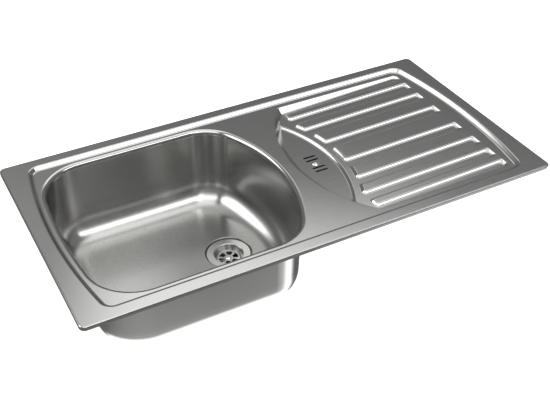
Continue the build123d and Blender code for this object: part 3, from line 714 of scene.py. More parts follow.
UPRIGHT = math.pi / 2
lip_profile = [(0.0, 0.0, UPRIGHT)] + bend((0.0, RIM_Z), UPRIGHT, 0.0, LIP_BEND_R, LIP_STEPS)
recess_profile = bend((0.0, RIM_Z), 0.0, -WALL_TILT, RECESS_TOP_FILLET, RECESS_STEPS)
recess_profile += bend((-RECESS_DEPTH, PANEL_Z), -WALL_TILT, 0.0, -RECESS_FOOT_FILLET, RECESS_STEPS)
mouth_profile = bend((0.0, PANEL_Z), 0.0, -UPRIGHT, MOUTH_FILLET, MOUTH_STEPS)
print("recess foot at", [round(v, 3) for v in recess_profile[-1]])

# %% [markdown]
# ## The drainer
# Seven pads stand in a sloping well, and a deeper sump at its bowl end collects the water. On the real
# sheet this is one stroke of a press, so every wall leans at 45 degrees and every edge is rolled. Sweeping
# and joining a dozen shapes would leave a seam at each. So the drainer is one height for each place: the
# higher of the floor and the walls, with a small ease where two surfaces meet.

# %% The drainer's outline
DRAINER_LEFT_X = 34.5
DRAINER_RIGHT_X = 371.0
DRAINER_HALF_DEPTH = 179.0
DRAINER_BOW_R = 282.0
DRAINER_CORNER_R = 9.0

bow_x = DRAINER_LEFT_X + DRAINER_BOW_R
corner_y = DRAINER_HALF_DEPTH - DRAINER_CORNER_R
left_corner_x = bow_x - math.sqrt((DRAINER_BOW_R - DRAINER_CORNER_R) ** 2 - corner_y**2)
left_corner_out = np.array((left_corner_x - bow_x, corner_y)) / (DRAINER_BOW_R - DRAINER_CORNER_R)
right_corner_x = DRAINER_RIGHT_X - DRAINER_CORNER_R


def drainer_inset(x, y):
    """How far a place is inside the drainer's outline."""
    y = np.abs(y)
    inset = np.minimum(DRAINER_BOW_R - np.hypot(x - bow_x, y), DRAINER_HALF_DEPTH - y)
    inset = np.minimum(inset, DRAINER_RIGHT_X - x)
    across, along = x - right_corner_x, y - corner_y
    inset = np.where((across > 0) & (along > 0), DRAINER_CORNER_R - np.hypot(across, along), inset)
    across = x - left_corner_x
    in_corner = (across <= 0) & (along * -left_corner_out[0] + across * left_corner_out[1] >= 0)
    return np.where(in_corner, DRAINER_CORNER_R - np.hypot(across, along), inset)


print("inset in the drainer's middle:", drainer_inset(np.array([200.0]), np.array([0.0])))

# %% [markdown]
# The pads are widest in the middle and narrower to the front and the back, and each is a flat strip that
# falls slowly to the left. All but the two outermost end on one great arc, with a small round at each of
# their corners. Seven separate shapes would have to be joined to the floor, so each pad is only a distance
# here: how far a place is outside its upper edge.

# %% The pads
PAD_CORNER_R = 3.0
PAD_ARC_R = 300.0
PAD_ARC_X = -168.0
END_PAD_LEFT_X = 108.0
PADS = ((0.0, 43.0), (60.667, 30.0), (109.833, 20.0), (151.5, 15.0))
pads = sorted({(way * middle, width) for middle, width in PADS for way in (-1, 1)})


def is_outermost(middle):
    return abs(middle) == PADS[-1][0]


def pad_corner(middle, width, toward):
    """Centre of a pad's left corner, and the way its left end faces there."""
    y = middle + toward * (width / 2 - PAD_CORNER_R)
    if is_outermost(middle):
        return np.array((END_PAD_LEFT_X + PAD_CORNER_R, y)), np.array((-1.0, 0.0))
    x = PAD_ARC_X + math.sqrt((PAD_ARC_R + PAD_CORNER_R) ** 2 - y**2)
    return np.array((x, y)), np.array((PAD_ARC_X - x, -y)) / (PAD_ARC_R + PAD_CORNER_R)


def pad_outset(x, y, middle, width):
    """How far a place is outside one pad's upper edge."""
    before = END_PAD_LEFT_X - x if is_outermost(middle) else PAD_ARC_R - np.hypot(x - PAD_ARC_X, y)
    outset = np.maximum(np.abs(y - middle) - width / 2, before)
    for toward in (1, -1):
        corner, facing = pad_corner(middle, width, toward)
        across, along = x - corner[0], (y - corner[1]) * toward
        in_corner = (across <= 0) & (across * facing[1] * toward - along * facing[0] >= 0)
        outset = np.where(in_corner, np.hypot(across, along) - PAD_CORNER_R, outset)
    return outset


print("pads:", [(round(middle, 1), width) for middle, width in pads])

# %% [markdown]
# Now the heights. The tops of the pads and the channels between them fall together at a little over a
# degree, and the channels run out into the level sump. `ease_max` takes the higher of two surfaces and
# rolls the edge between them, as the press does.

# %% The drainer's height
DRAINER_FALL = math.tan(math.radians(1.25))
PAD_HEIGHT = 3.7
SUMP_Z = -12.0
SUMP_BOW_R = 269.0
SUMP_BOW_X = -156.0
WALL_EASE = 0.9
PAD_EASE = 1.7
CORNER_EASE = 5.0


def ease_max(a, b, ease):
    """The higher of two heights, with a round fillet of the given ease where they cross."""
    near = np.maximum(ease - np.abs(a - b), 0) / ease
    return np.maximum(a, b) + near**2 * ease / 4


def ease_min(a, b, ease):
    return -ease_max(-a, -b, ease)


def pad_top(x):
    return PANEL_Z - np.maximum(DRAINER_RIGHT_X - x, 0) * DRAINER_FALL


def channel_floor(x):
    return pad_top(x) - PAD_HEIGHT


def drainer_floor(x, y):
    """The channels' floor and the sump."""
    from_bow = np.hypot(x - SUMP_BOW_X, y)
    ramp = ease_max(np.full_like(x, SUMP_Z), SUMP_Z + from_bow - SUMP_BOW_R, PAD_EASE)
    return ease_min(channel_floor(x), ramp, PAD_EASE)


def panel_height(x, y):
    """Height of the panel and the drainer at each place."""
    top = pad_top(x)
    slopes = PANEL_Z - (DRAINER_RIGHT_X - x)
    for middle, width in pads:
        slopes = ease_max(slopes, top - pad_outset(x, y, middle, width), CORNER_EASE)
    slopes = ease_min(slopes, top, PAD_EASE)
    walls = ease_min(PANEL_Z - drainer_inset(x, y), np.full_like(x, PANEL_Z), WALL_EASE)
    floor_z = drainer_floor(x, y)
    return np.maximum(ease_max(floor_z, walls, WALL_EASE), ease_max(floor_z, slopes, PAD_EASE))


sample_x = np.array((371.0, 300.0, 200.0, 80.0))
for name, sample_y in (("along a channel", 32.0), ("on a pad", 0.0)):
    print(name, panel_height(sample_x, np.full(len(sample_x), sample_y)).round(2))

# %% [markdown]
# ## The drainer's lines
# A height alone makes a mesh only on a grid, and a grid cuts across every rolled edge. So lines along the
# edges are drawn first and triangles fill the rest: then the edges stay even and crisp. A wall has five
# lines along its upper edge and five along its foot. A line that follows the foot has to find where the
# wall meets a floor that slopes, so it is moved inwards a few times until it settles.

# %% Lines of the walls and the sump
EDGE_STEPS = (-1.0, -0.5, 0.0, 0.5, 1.0)
SETTLE_ROUNDS = 6
DRAINER_CORNER_STEPS = 12
DRAINER_SIDE_STEPS = 32
DRAINER_BOW_STEPS = 48
SUMP_HALF_TURN = 39
SUMP_STEPS = 52


def right_side(steps):
    """The drainer's straight right side as points of a plan, without its ends."""
    ys = np.linspace(corner_y, -corner_y, steps + 1)[1:-1]
    centres = np.column_stack((np.full_like(ys, right_corner_x), ys))
    return centres, np.full(len(ys), DRAINER_CORNER_R), np.tile((1.0, 0.0), (len(ys), 1))


def drainer_corner(x, y, start, end):
    return arc((x, y), DRAINER_CORNER_R, start, end, DRAINER_CORNER_STEPS)


left_turn = math.degrees(math.atan2(left_corner_out[1], left_corner_out[0]))
drainer_plan = Plan(
    drainer_corner(right_corner_x, corner_y, 90, 0),
    right_side(DRAINER_SIDE_STEPS),
    drainer_corner(right_corner_x, -corner_y, 0, -90),
    side(right_corner_x, left_corner_x, DRAINER_HALF_DEPTH, -1.0, DRAINER_SIDE_STEPS),
    drainer_corner(left_corner_x, -corner_y, -90, -left_turn),
    inner_arc((bow_x, 0), DRAINER_BOW_R, -left_turn, left_turn - 360, DRAINER_BOW_STEPS),
    drainer_corner(left_corner_x, corner_y, left_turn - 360, -270),
    side(left_corner_x, right_corner_x, DRAINER_HALF_DEPTH, 1.0, DRAINER_SIDE_STEPS),
)


def wall_lines(plan):
    """Lines of a wall that falls from the panel: its upper edge, its foot and the steps of both fillets."""
    lines = [(plan.ring(-step * WALL_EASE), True) for step in EDGE_STEPS]
    for step in EDGE_STEPS:
        ring = plan.ring(0.0)
        for _ in range(SETTLE_ROUNDS):
            depth = PANEL_Z - drainer_floor(ring[:, 0], ring[:, 1])
            ring = plan.centres + (plan.radii - depth + step * WALL_EASE)[:, None] * plan.directions
        lines.append((ring, True))
    return lines


def sump_lines():
    """Lines of the curved ramp between the sump and the channels."""
    turns = np.radians(np.linspace(-SUMP_HALF_TURN, SUMP_HALF_TURN, SUMP_STEPS + 1))
    directions = np.column_stack((np.cos(turns), np.sin(turns)))
    lines = []
    for step in EDGE_STEPS:
        lines.append(((SUMP_BOW_X, 0) + (SUMP_BOW_R + step * PAD_EASE) * directions, False))
        line = (SUMP_BOW_X, 0) + SUMP_BOW_R * directions
        for _ in range(SETTLE_ROUNDS):
            rise = channel_floor(line[:, 0]) - SUMP_Z
            line = (SUMP_BOW_X, 0) + (SUMP_BOW_R + rise + step * PAD_EASE)[:, None] * directions
        lines.append((line, False))
    return lines


field_lines = wall_lines(drainer_plan) + sump_lines()
print("lines of the walls and the sump:", len(field_lines))

# %% [markdown]
# A pad's line goes from its right end along one side, round the left end and back along the other. Where a
# pad runs out into the panel, three slopes meet at each corner and no line follows all of them, so a fine
# grid is drawn there.

# %% Lines of the pads
LINE_STEP = 8.0
PAD_CORNER_STEPS = 6
PAD_END_STEPS = 7
PAD_OVERRUN = 1.0
GRID_STEP = 1.1
GRID_REACH_X = (-10.0, 1.5)
GRID_REACH_Y = (-1.0, 9.0)


def pad_line(middle, width, outset):
    """One pad's outline at an outset from its upper edge, from the right end round the left end and back."""
    line = []
    for toward in (1, -1):
        (corner_x, corner), facing = pad_corner(middle, width, toward)
        start = math.pi / 2 * toward
        end = math.atan2(facing[1], facing[0])
        if toward * end < 0:
            end += toward * 2 * math.pi
        turns = np.linspace(start, end, PAD_CORNER_STEPS + 1)
        radius = PAD_CORNER_R + outset
        rounded = np.column_stack((corner_x + radius * np.cos(turns), corner + radius * np.sin(turns)))
        count = int((DRAINER_RIGHT_X - corner_x) / LINE_STEP)
        xs = np.linspace(DRAINER_RIGHT_X + PAD_OVERRUN, corner_x, count)[:-1]
        straight = np.column_stack((xs, np.full(len(xs), middle + toward * (width / 2 + outset))))
        half = np.vstack((straight, rounded))
        line.append(half if toward > 0 else half[::-1])
    ends = np.linspace(line[0][-1], line[1][0], PAD_END_STEPS + 1)[1:-1]
    if not is_outermost(middle):
        turn = np.arctan2(ends[:, 1], ends[:, 0] - PAD_ARC_X)
        radius = PAD_ARC_R - outset
        ends = np.column_stack((PAD_ARC_X + radius * np.cos(turn), radius * np.sin(turn)))
    return np.vstack((line[0], ends, line[1])), False


def end_grid(edge, outward):
    """Lines across the slopes at the right end of one side of a pad."""
    ys = edge + outward * np.arange(*GRID_REACH_Y, GRID_STEP)
    xs = np.arange(DRAINER_RIGHT_X + GRID_REACH_X[0], DRAINER_RIGHT_X + GRID_REACH_X[1], GRID_STEP)
    return [(np.column_stack((np.full(len(ys), x), ys)), False) for x in xs]


for middle, width in pads:
    for step in EDGE_STEPS:
        for foot in (0.0, PAD_HEIGHT):
            field_lines.append(pad_line(middle, width, foot + step * PAD_EASE))
    for outward in (-1, 1):
        field_lines += end_grid(middle + outward * width / 2, outward)
print("lines with the pads:", len(field_lines))

# %% [markdown]
# Four overflow slots and the hole of their screw are punched through the sump's floor. A Boolean could cut
# them out later, but it spoils the normals round each hole, so they are lines as well, and the triangles
# inside them are left out. The panel's patch ends at the foot of the recess and at the mouth of the bowl,
# whose points it shares, so the patches weld without a gap.

# %% Holes and edges of the panel


def middle_x(node):
    """A node's middle along the sink."""
    low, high = box_mm(node)
    return (low[0] + high[0]) / 2


WASTE_X = middle_x("waste_flange")
OVERFLOW_X = middle_x("overflow_screw")
SLOT_LENGTH = 24.6
SLOT_WIDTH = 4.0
SLOT_ROWS = (12.0, 22.5)
SLOT_END_STEPS = 12
SCREW_HOLE_R = 3.2
SCREW_HOLE_STEPS = 24


def slot_line(x, y):
    """Outline of one overflow slot, half round at both ends."""
    reach = (SLOT_LENGTH - SLOT_WIDTH) / 2
    right = arc((x + reach, y), SLOT_WIDTH / 2, 90, -90, SLOT_END_STEPS)
    left = arc((x - reach, y), SLOT_WIDTH / 2, -90, -270, SLOT_END_STEPS)
    return Plan(right, left).ring(0.0)


holes = [slot_line(OVERFLOW_X, row * toward) for row in SLOT_ROWS for toward in (-1, 1)]
holes.append(circle_plan(OVERFLOW_X, SCREW_HOLE_R, SCREW_HOLE_STEPS).ring(0.0))
recess_foot = recess_plan.ring(recess_profile[-1][0])
mouth_edge = bowl_plan.ring(mouth_profile[0][0])
field_lines = [(outline, True) for outline in (*holes, recess_foot, mouth_edge)] + field_lines


def on_panel(x, y):
    """Keeps what is inside the recess, outside the bowl's mouth and not in a hole."""
    keep = points_in(recess_foot, x, y) & ~points_in(mouth_edge, x, y)
    for hole in holes:
        keep &= ~points_in(hole, x, y)
    return keep


print("lines drawn on the panel:", len(field_lines), "holes:", len(holes))

# %% [markdown]
# ## Deck
# The deck runs from the turned-down lip over the rim, down the recess and into the rolled mouth of the
# bowl. The bands follow their plans and the two flat patches lie between them. The finished sheet takes the
# place of the packed deck and rides on the same body.

# %% Deck
deck_sheet = Sheet()
deck_sheet.add_rings(rim_plan, lip_profile)
deck_sheet.add_level(rim_plan.ring(lip_profile[-1][0]), recess_plan.ring(recess_profile[0][0]), RIM_Z)
deck_sheet.add_rings(recess_plan, recess_profile)
deck_sheet.add_field(field_lines, panel_height, on_panel)
deck_sheet.add_rings(bowl_plan, mouth_profile)
deck_skin = pressing("deck_pressing", deck_sheet, SHEET)
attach(deck_skin, "sink")
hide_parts("deck")

# %% [markdown]
# ## Bowl
# The bowl is drawn deep, with a little draft so that it leaves the die, a wide cove round its floor and a
# shallow recess for the waste. A lathe would make a round bowl, but this one has the recess's kind of plan,
# so it is made of rings too: one profile takes the wall to the floor, and another goes round the waste. It
# is welded to the deck under the rolled mouth. Just below the seam the normals ease into the draft, so the
# seam doesn't show.

# %% Bowl
EVEN_WALL = 6.0
COVE_STEPS = 28
WASTE_RECESS_R = 41.0
WASTE_LIP_R = 2.5
WASTE_FOOT_R = 1.5
WASTE_HOLE_R = 30.0
WASTE_STEPS = 96
WASTE_LIP_STEPS = 6
WASTE_FOOT_STEPS = 5

recess_z = FLOOR_Z - WASTE_RECESS_DEPTH
floor_inset = (FLOOR_Z - SEAM_Z) * math.tan(BOWL_DRAFT)
wall_tilt = BOWL_DRAFT - UPRIGHT
bowl_profile = [(0.0, SEAM_Z, -UPRIGHT), (-EVEN_WALL * math.tan(BOWL_DRAFT), SEAM_Z - EVEN_WALL, wall_tilt)]
bowl_profile += bend((floor_inset, FLOOR_Z), wall_tilt, 0.0, -BOWL_COVE_R, COVE_STEPS)
waste_profile = bend((0.0, FLOOR_Z), 0.0, -UPRIGHT, WASTE_LIP_R, WASTE_LIP_STEPS)
waste_profile += bend((0.0, recess_z), -UPRIGHT, 0.0, -WASTE_FOOT_R, WASTE_FOOT_STEPS)
waste_profile.append((WASTE_HOLE_R - WASTE_RECESS_R, recess_z, 0.0))
waste_plan = circle_plan(WASTE_X, WASTE_RECESS_R, WASTE_STEPS)

bowl_sheet = Sheet()
bowl_sheet.add_rings(bowl_plan, bowl_profile)
bowl_sheet.add_level(bowl_plan.ring(bowl_profile[-1][0]), waste_plan.ring(waste_profile[0][0]), FLOOR_Z)
bowl_sheet.add_rings(waste_plan, waste_profile)
bowl_skin = pressing("bowl_pressing", bowl_sheet, SHEET)
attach(bowl_skin, "sink")
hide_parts("bowl")

# %% [markdown]
# ## Steel
# Stainless steel looks different for each way it was worked. The deck keeps the fine lines of the rolling
# mill, which run along the sink, so its grain is a noise stretched a long way. The strainer's flange is
# duller from its press, and the screws are turned bright. All three are one recipe with other numbers: a
# grain that tints the colour, the gloss and the surface a little.

# %% Rolled, pressed and turned steel


def metal(slot, colour, roughness, scale, stretch, depth=0.000002):
    """Worked metal with a fine grain in its colour, gloss and surface."""
    finish = Finish(slot, Metallic=1.0)
    grain = finish.noise(scale, stretch, detail=4.0, roughness=0.6)
    finish.paint(
        Base_Color=finish.mix(grain, shade(colour, DARKER), shade(colour, LIGHTER)),
        Roughness=finish.vary(grain, roughness * 0.85, roughness * 1.15),
        Normal=finish.bump(grain, depth),
    )


metal("deck_steel", (0.60, 0.60, 0.592), roughness=0.13, scale=900.0, stretch=(0.03, 1, 1), depth=0.00001)
metal("flange_steel", (0.50, 0.50, 0.49), roughness=0.27, scale=2500.0, stretch=(1, 1, 0.2))
metal("screw_steel", (0.66, 0.66, 0.65), roughness=0.14, scale=2500.0, stretch=(1, 1, 4))
print("steel finishes:", sorted(finishes))

# %% [markdown]
# ## The bowl's two finishes
# The bowl was polished round and round after drawing, so its grooves run level and smear every reflection
# up and down: that is anisotropy, a plain number of the shader. Its floor was brushed afterwards and
# scatters light evenly, and round the waste it carries painted shade, a darker colour. One shader cannot be
# both, so a second is mixed in by height.

# %% The bowl's two finishes
# Painted shade: above 60 mm over the floor the bowl's walls, inside and out, are coloured darker than the
# cove; the change eases in from 26 mm.
SHADED_WALL_COLOUR = (0.42, 0.418, 0.405, 1)
COVE_COLOUR = (0.66, 0.66, 0.65, 1)
WALL_SHADE_FADE_Z = (FLOOR_Z + 26, FLOOR_Z + 60)
FLOOR_COLOUR = (0.62, 0.62, 0.61, 1)
# Painted shade on the bowl's floor: darkest within 60 mm of a place beside the waste, gone by 210 mm.
FLOOR_SHADE_COLOUR = (0.30, 0.30, 0.295, 1)
FLOOR_SHADE_MIDDLE = (WASTE_X * MM, -0.03, FLOOR_Z * MM)
FLOOR_SHADE_FADE = (210, 60)
FLOOR_FADE_Z = (FLOOR_Z + 10, FLOOR_Z + 0.2)


def brushed_floor(finish):
    """The floor's own shader: brushed in no one direction, with painted shade round the waste."""
    brushed = finish.noise(2600.0, (0.15, 1, 1), detail=3.0)
    # Distance from the middle of the painted shade, in millimetres.
    off = finish.vector_math("DISTANCE", finish.place, FLOOR_SHADE_MIDDLE) / MM
    inputs = {
        "Metallic": 1.0,
        "Base Color": finish.mix(finish.ease(off, *FLOOR_SHADE_FADE), FLOOR_COLOUR, FLOOR_SHADE_COLOUR),
        "Roughness": finish.vary(brushed, 0.27, 0.29),
        "Normal": finish.bump(brushed, 0.00000005),
    }
    return finish.node("ShaderNodeBsdfPrincipled", inputs)


def bowl_metal():
    """Level polish on the walls, with painted shade darkening them, and the floor's shader below the cove."""
    finish = Finish("bowl_steel", Metallic=1.0, Anisotropic=0.85, Anisotropic_Rotation=0.25)
    height = finish.part(finish.place, "Z") / MM
    grain = finish.noise(900.0, (1, 1, 6.0), detail=4.0, roughness=0.6)
    # The walls' colour carries painted shade, darker than the cove's.
    finish.paint(
        Base_Color=finish.mix(finish.ease(height, *WALL_SHADE_FADE_Z), COVE_COLOUR, SHADED_WALL_COLOUR),
        Roughness=finish.vary(grain, 0.19, 0.23),
        Normal=finish.bump(grain, 0.0000001),
    )
    shaders = {0: finish.ease(height, *FLOOR_FADE_Z), 1: finish.shader.outputs[0], 2: brushed_floor(finish)}
    finish.feed(finish.find("OUTPUT_MATERIAL").inputs["Surface"], finish.node("ShaderNodeMixShader", shaders))


bowl_metal()
print("nodes in the bowl's finish:", len(finishes["bowl_steel"].node_tree.nodes))

# %% [markdown]
# ## Fixings
# The clips are zinc plated: bluish, a little cloudy, with passivated patches that turn straw yellow. The
# brass nuts are turned, so fine rings follow one another along them. A noise makes the clouds, small cells
# make the crystals of the plating, and a sine wave makes the rings.

# %% Zinc and brass
ZINC_BLUE = (0.58, 0.61, 0.66, 1)
ZINC_STRAW = (0.70, 0.67, 0.58, 1)
BRASS_DARK = (0.66, 0.48, 0.21, 1)
BRASS_BRIGHT = (0.84, 0.66, 0.36, 1)
RING_PITCH = 0.0004

finish = Finish("zinc_steel", Metallic=1.0)
clouds = finish.noise(180.0, detail=3.0)
crystals = finish.cells(900.0)
finish.paint(
    Base_Color=finish.mix(finish.spread(clouds, 0.35, 0.7), ZINC_BLUE, ZINC_STRAW),
    Roughness=finish.vary(clouds, 0.24, 0.38) + crystals * 0.06,
    Normal=finish.bump(crystals, 0.00001),
)

finish = Finish("brass", Metallic=1.0)
rings = (finish.part(finish.place, "Z") * (2 * math.pi / RING_PITCH)).math("SINE")
tarnish = finish.noise(120.0, detail=3.0)
finish.paint(
    Base_Color=finish.mix(tarnish, BRASS_DARK, BRASS_BRIGHT),
    Roughness=finish.vary(tarnish, 0.18, 0.32),
    Normal=finish.bump(rings, 0.00001),
)
print("turned rings per mm:", MM / RING_PITCH)

# %% [markdown]
# ## Plastics
# Moulded polypropylene has a faint orange peel from its mould and clouds of flow in its colour. The pipe is
# extruded, which draws its peel out, and the stretch follows its upright leg. Inside the waste's cup, shade
# is painted: the white plastic is coloured dark there, where it lies in shadow. A painted mask would need the
# cup laid flat. The dark patch is found by its place instead: near the cup's axis and above its foot.

# %% Moulded and extruded plastic
FLOW_SCALE = 35.0
FLOW_DARKER = 0.92
CUP_SHADE_COLOUR = (0.03, 0.03, 0.028, 1)
# Painted shade: the dark colour laid inside the waste's cup, where it lies in shadow.
CUP_FADE_R = (0.0335, 0.0325)
CUP_FADE_Z = (-0.192, -0.190)


def plastic(slot, colour, roughness, peel_scale, peel_depth, stretch=(1, 1, 1), cup_shade=None):
    """Plastic with clouds of flow and orange peel. The last argument says where painted shade darkens it."""
    finish = Finish(slot)
    flow = finish.noise(FLOW_SCALE, detail=2.0)
    peel = finish.noise(peel_scale, stretch, detail=3.0)
    tint = finish.mix(flow, shade(colour, FLOW_DARKER), shade(colour, LIGHTER))
    # Where the cup mask is set, painted shade replaces the plastic's tint.
    finish.paint(
        Base_Color=finish.mix(cup_shade(finish), tint, CUP_SHADE_COLOUR) if cup_shade else tint,
        Roughness=finish.vary(peel, roughness * 0.85, roughness * 1.2),
        Normal=finish.bump(peel, peel_depth),
    )


def painted_cup_shade(finish):
    """A mask of painted shade: 1 in the cup of the waste, 0 on its outside."""
    level = finish.vector_math("MULTIPLY", finish.place, (1, 1, 0), output="Vector")
    off = finish.vector_math("DISTANCE", level, (WASTE_X * MM, 0, 0))
    return finish.spread(off, *CUP_FADE_R) * finish.spread(finish.part(finish.place, "Z"), *CUP_FADE_Z)


# The white plastic gets painted shade inside the waste's cup.
plastic("white_plastic", (0.86, 0.86, 0.84), 0.38, peel_scale=1500.0, peel_depth=0.00003, cup_shade=painted_cup_shade)
plastic("black_plastic", (0.03, 0.03, 0.03), 0.4, peel_scale=1500.0, peel_depth=0.00003)
plastic("pipe_plastic", (0.80, 0.80, 0.79), 0.32, peel_scale=1200.0, peel_depth=0.00002, stretch=(1, 1, 0.05))
print("plastics:", [slot for slot in finishes if slot.endswith("plastic")])

# %% [markdown]
# ## Rubber, foam and bitumen
# The seals carry a dusting of talc, which keeps rubber from sticking in its bag. The strip under the rim is
# full of small closed cells. The sound-deadening sheet is bitumen, pressed by a roller with a grid of
# dimples: two sine waves, multiplied, give such a grid.

# %% Rubber, foam and bitumen
TALC_COLOURS = (0.045, 0.045, 0.047, 1), (0.15, 0.15, 0.15, 1)
FOAM_COLOURS = (0.05, 0.05, 0.055, 1), (0.17, 0.17, 0.18, 1)
BITUMEN_COLOURS = (0.07, 0.07, 0.07, 1), (0.14, 0.14, 0.135, 1)
DIMPLE_PITCH = 0.006

finish = Finish("seal_rubber")
dust = finish.spread(finish.noise(1400.0, detail=4.0), 0.55, 0.75)
finish.paint(
    Base_Color=finish.mix(dust, *TALC_COLOURS),
    Roughness=finish.spread(dust, 0.0, 1.0, 0.55, 0.8),
    Normal=finish.bump(dust, 0.00002),
)

finish = Finish("foam", Roughness=0.9)
cells = finish.cells(700.0)
finish.paint(
    Base_Color=finish.mix(finish.spread(cells, 0.1, 0.6), *FOAM_COLOURS),
    Normal=finish.bump(cells, 0.0003),
)

finish = Finish("damping")
across, back = (finish.part(finish.place, axis) * (2 * math.pi / DIMPLE_PITCH) for axis in "XY")
dimples = across.math("SINE") * back.math("SINE")
speckle = finish.noise(1800.0, detail=4.0)
finish.paint(
    Base_Color=finish.mix(speckle, *BITUMEN_COLOURS),
    Roughness=finish.vary(speckle, 0.65, 0.9),
    Normal=finish.bump(dimples * 0.5 + speckle * 0.2, 0.0006),
)
print("finishes:", len(finishes))

# %% [markdown]
# ## Threads
# The fixing studs and the waste's outlet are threaded, and the solids leave that out. Sweeping a groove
# along a helix and cutting it with a Boolean is slow and fragile. A thread repeats one groove, so a rule is
# enough: each point's distance from the axis follows how far up the helix it is. The groove runs out below
# the collar, and the tip is chamfered.

# %% The thread's radius
TINY = 0.00001
GROOVE_SLOPE = 1.5
GROOVE_START = 0.25


def thread_radius(size, row, height, turn):
    """How far each point of the rolled grid is from the axis."""
    helix = height / size["Pitch"] - turn
    wave = (helix.math("FRACT") * 2 - 1).math("ABSOLUTE")
    groove = (wave * GROOVE_SLOPE - GROOVE_START).clamped()
    run_out = (-(height + size["Collar"]) / size["Pitch"]).clamped()
    at_tip = size["Radius"] - size["Chamfer"] + height + size["Length"]
    radius = (size["Radius"] - groove * size["Depth"] * run_out).math("MINIMUM", at_tip)
    on_collar = height.math("GREATER_THAN", -size["Collar"] - TINY)
    on_collar = on_collar * size["Collar"].math("GREATER_THAN", TINY)
    radius = radius + (size["Collar Radius"] - radius) * on_collar
    # The first two rows and the last one lie in the bore.
    in_bore = row.math("LESS_THAN", 1.5).math("MAXIMUM", row.math("GREATER_THAN", size["Rows"] - 1.5))
    return radius + (size["Bore"] - radius) * in_bore


print("crest's share of a pitch:", round(GROOVE_START / GROOVE_SLOPE, 3))

# %% [markdown]
# Geometry Nodes draw the part from a flat grid, which is rolled into a tube. The tube starts in its bore,
# goes out over the lower face, up the thread and back in over the top. A rod has no bore, so it starts and
# ends at a pole. The same tree makes both parts, from its named inputs.

# %% The thread tree
LENGTHS = ("Radius", "Bore", "Length", "Pitch", "Depth", "Chamfer", "Collar Radius", "Collar")
THREAD_INPUTS = dict.fromkeys(LENGTHS, "NodeSocketFloat") | dict.fromkeys(("Around", "Rows"), "NodeSocketInt")
THREAD_INPUTS["Material"] = "NodeSocketMaterial"
WELD_REACH = 0.000005


def thread_group():
    """A tree that makes one threaded tube or rod at each point of a mesh, with its top at the point."""
    group = bpy.data.node_groups.new("threaded_part", "GeometryNodeTree")
    for way in ("OUTPUT", "INPUT"):
        group.interface.new_socket("Geometry", in_out=way, socket_type="NodeSocketGeometry")
    for name, kind in THREAD_INPUTS.items():
        group.interface.new_socket(name, in_out="INPUT", socket_type=kind)
    tree = Tree(group)
    given = group.nodes.new("NodeGroupInput")
    size = {name: Value(tree, given.outputs[name]) for name in ("Geometry", *THREAD_INPUTS)}
    counts = {"Size X": 1.0, "Size Y": 1.0, "Vertices X": size["Around"] + 1, "Vertices Y": size["Rows"]}
    grid = tree.node("GeometryNodeMeshGrid", counts, output="Mesh")
    place = tree.node("GeometryNodeInputPosition", output="Position")
    turn = tree.part(place, "X") + 0.5
    row = (tree.part(place, "Y") + 0.5) * (size["Rows"] - 1)
    rise = ((row - 2) / (size["Rows"] - 4)).clamped()
    is_rod = size["Bore"].math("LESS_THAN", TINY)
    height = (rise - 1) * size["Length"] * row.math("GREATER_THAN", 0.5).math("MAXIMUM", is_rod)
    radius = thread_radius(size, row, height, turn)
    angle = turn * (2 * math.pi)
    point = {"X": radius * angle.math("COSINE"), "Y": radius * angle.math("SINE"), "Z": height}
    moved = {"Geometry": grid, "Position": tree.node("ShaderNodeCombineXYZ", point)}
    rolled = tree.node("GeometryNodeSetPosition", moved)
    closed = tree.node("GeometryNodeMergeByDistance", {"Geometry": rolled, "Distance": WELD_REACH})
    placed = tree.node("GeometryNodeInstanceOnPoints", {"Points": size["Geometry"], "Instance": closed})
    whole = tree.node("GeometryNodeRealizeInstances", {"Geometry": placed})
    finished = tree.node("GeometryNodeSetMaterial", {"Geometry": whole, "Material": size["Material"]})
    tree.feed(group.nodes.new("NodeGroupOutput").inputs["Geometry"], finished)
    return group


thread_nodes = thread_group()
print("nodes in the thread tree:", len(thread_nodes.nodes))

# %% [markdown]
# The tree works on a mesh of bare points, one for the top of each part. Its inputs are set by identifier
# before anything is evaluated. The result is copied to a plain mesh, and the object with the points is
# removed, and its modifier with it.

# %% From points to threaded parts
SHARP_ANGLE = math.radians(35)


def threaded(name, tops, material, **sizes):
    """Threaded parts hanging from the given points, as one plain mesh."""
    mesh = bpy.data.meshes.new(name)
    mesh.from_pydata(tops, [], [])
    source = new_object(name + "_points", mesh)
    modifier = source.modifiers.new("thread", "NODES")
    modifier.node_group = thread_nodes
    sockets = thread_nodes.interface.items_tree
    keys = {item.name: item.identifier for item in sockets if item.in_out == "INPUT"}
    modifier[keys["Material"]] = material
    for size_name, value in sizes.items():
        modifier[keys[size_name.replace("_", " ")]] = value
    evaluated = source.evaluated_get(bpy.context.evaluated_depsgraph_get())
    plain = bpy.data.meshes.new_from_object(evaluated)
    plain.name = name
    form = bmesh.new()
    form.from_mesh(plain)
    bmesh.ops.recalc_face_normals(form, faces=form.faces)
    open_edges = sum(1 for edge in form.edges if len(edge.link_faces) != 2)
    form.to_mesh(plain)
    form.free()
    plain.polygons.foreach_set("use_smooth", [True] * len(plain.polygons))
    plain.set_sharp_from_angle(angle=SHARP_ANGLE)
    bpy.data.objects.remove(source)
    print(name, "faces", len(plain.polygons), "open edges", open_edges)
    return new_object(name, plain)


print("edges sharper than", round(math.degrees(SHARP_ANGLE)), "degrees stay sharp")

# %% [markdown]
# ## Studs and outlet
# A stud has an M5 thread, a weld collar at the sheet and a chamfered tip. The outlet's thread is coarse,
# with eleven turns to the inch, as on other waste pipes. Each stays inside the box of the solid that it
# stands in for: the groove is cut in, not laid on.

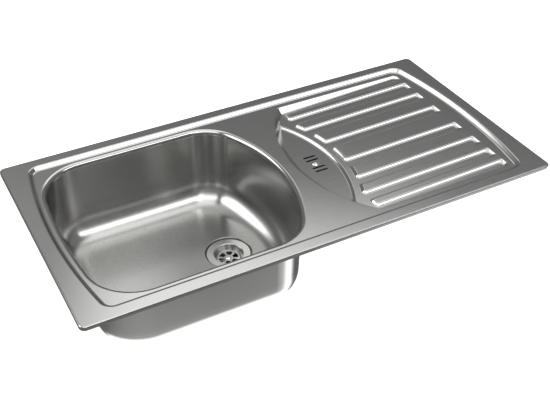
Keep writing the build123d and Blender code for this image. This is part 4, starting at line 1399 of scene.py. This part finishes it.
# %% Studs and outlet
STUD_PLACES = ((-0.368, 0.181), (-0.015, 0.185), (0.1675, 0.185), (0.350, 0.185))
stud_low, stud_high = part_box("fixing_studs")
stud_threads = threaded(
    "stud_threads",
    [(x, y * way, stud_high[2]) for x, y in STUD_PLACES for way in (-1, 1)],
    finishes["screw_steel"],
    Radius=0.0025,
    Bore=0.0,
    Length=stud_high[2] - stud_low[2],
    Pitch=0.0008,
    Depth=0.00043,
    Chamfer=0.0006,
    Collar_Radius=0.004,
    Collar=0.001,
    Around=18,
    Rows=164,
)
outlet_low, outlet_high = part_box("waste_outlet")
outlet_radius = (outlet_high[0] - outlet_low[0]) / 2
outlet_thread = threaded(
    "outlet_thread",
    [(WASTE_X * MM, 0.0, outlet_high[2])],
    finishes["white_plastic"],
    Radius=outlet_radius,
    Bore=0.020,
    Length=outlet_high[2] - outlet_low[2],
    Pitch=0.002309,
    Depth=0.00148,
    Chamfer=0.0012,
    Collar_Radius=outlet_radius,
    Collar=0.0,
    Around=72,
    Rows=108,
)
stud_part = (stud_threads, "fixing_studs", "screw_steel")
outlet_part = (outlet_thread, "waste_outlet", "white_plastic")
for piece, node, slot in (stud_part, outlet_part):
    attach(piece, "sink")
    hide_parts(node)

# %% [markdown]
# ## Dress
# The record of the pack says which finish each packed node has. A loop reads it, so a new node can't be
# forgotten, and the two pressings are dressed one by one after it. The floor gets the faintest grain, which
# a plain white needs to look like paper. The view transform is the plain one, so that white stays white.

# %% Every piece gets its finish
FLOOR_GREYS = (0.80, 0.80, 0.80, 1), (0.84, 0.84, 0.84, 1)
FLOOR_GLOWS = (0.95, 0.95, 0.95, 1), (1.0, 1.0, 1.0, 1)


def dress(obj, slot):
    """Gives an object one finish in place of what it has."""
    obj.data.materials.clear()
    obj.data.materials.append(finishes[slot])


finish = Finish("studio_floor", Roughness=0.9, Emission_Strength=1.0)
grain = finish.noise(8.0)
finish.paint(Base_Color=finish.mix(grain, *FLOOR_GREYS), Emission_Color=finish.mix(grain, *FLOOR_GLOWS))
for part in frame["record"]["subparts"]:
    dress(frame["nodes"][part["node"]], part["material_slot"])
dress(deck_skin, "deck_steel")
dress(bowl_skin, "bowl_steel")
dress(floor, "studio_floor")
scene.view_settings.view_transform = "Standard"

# %% [markdown]
# ## Close
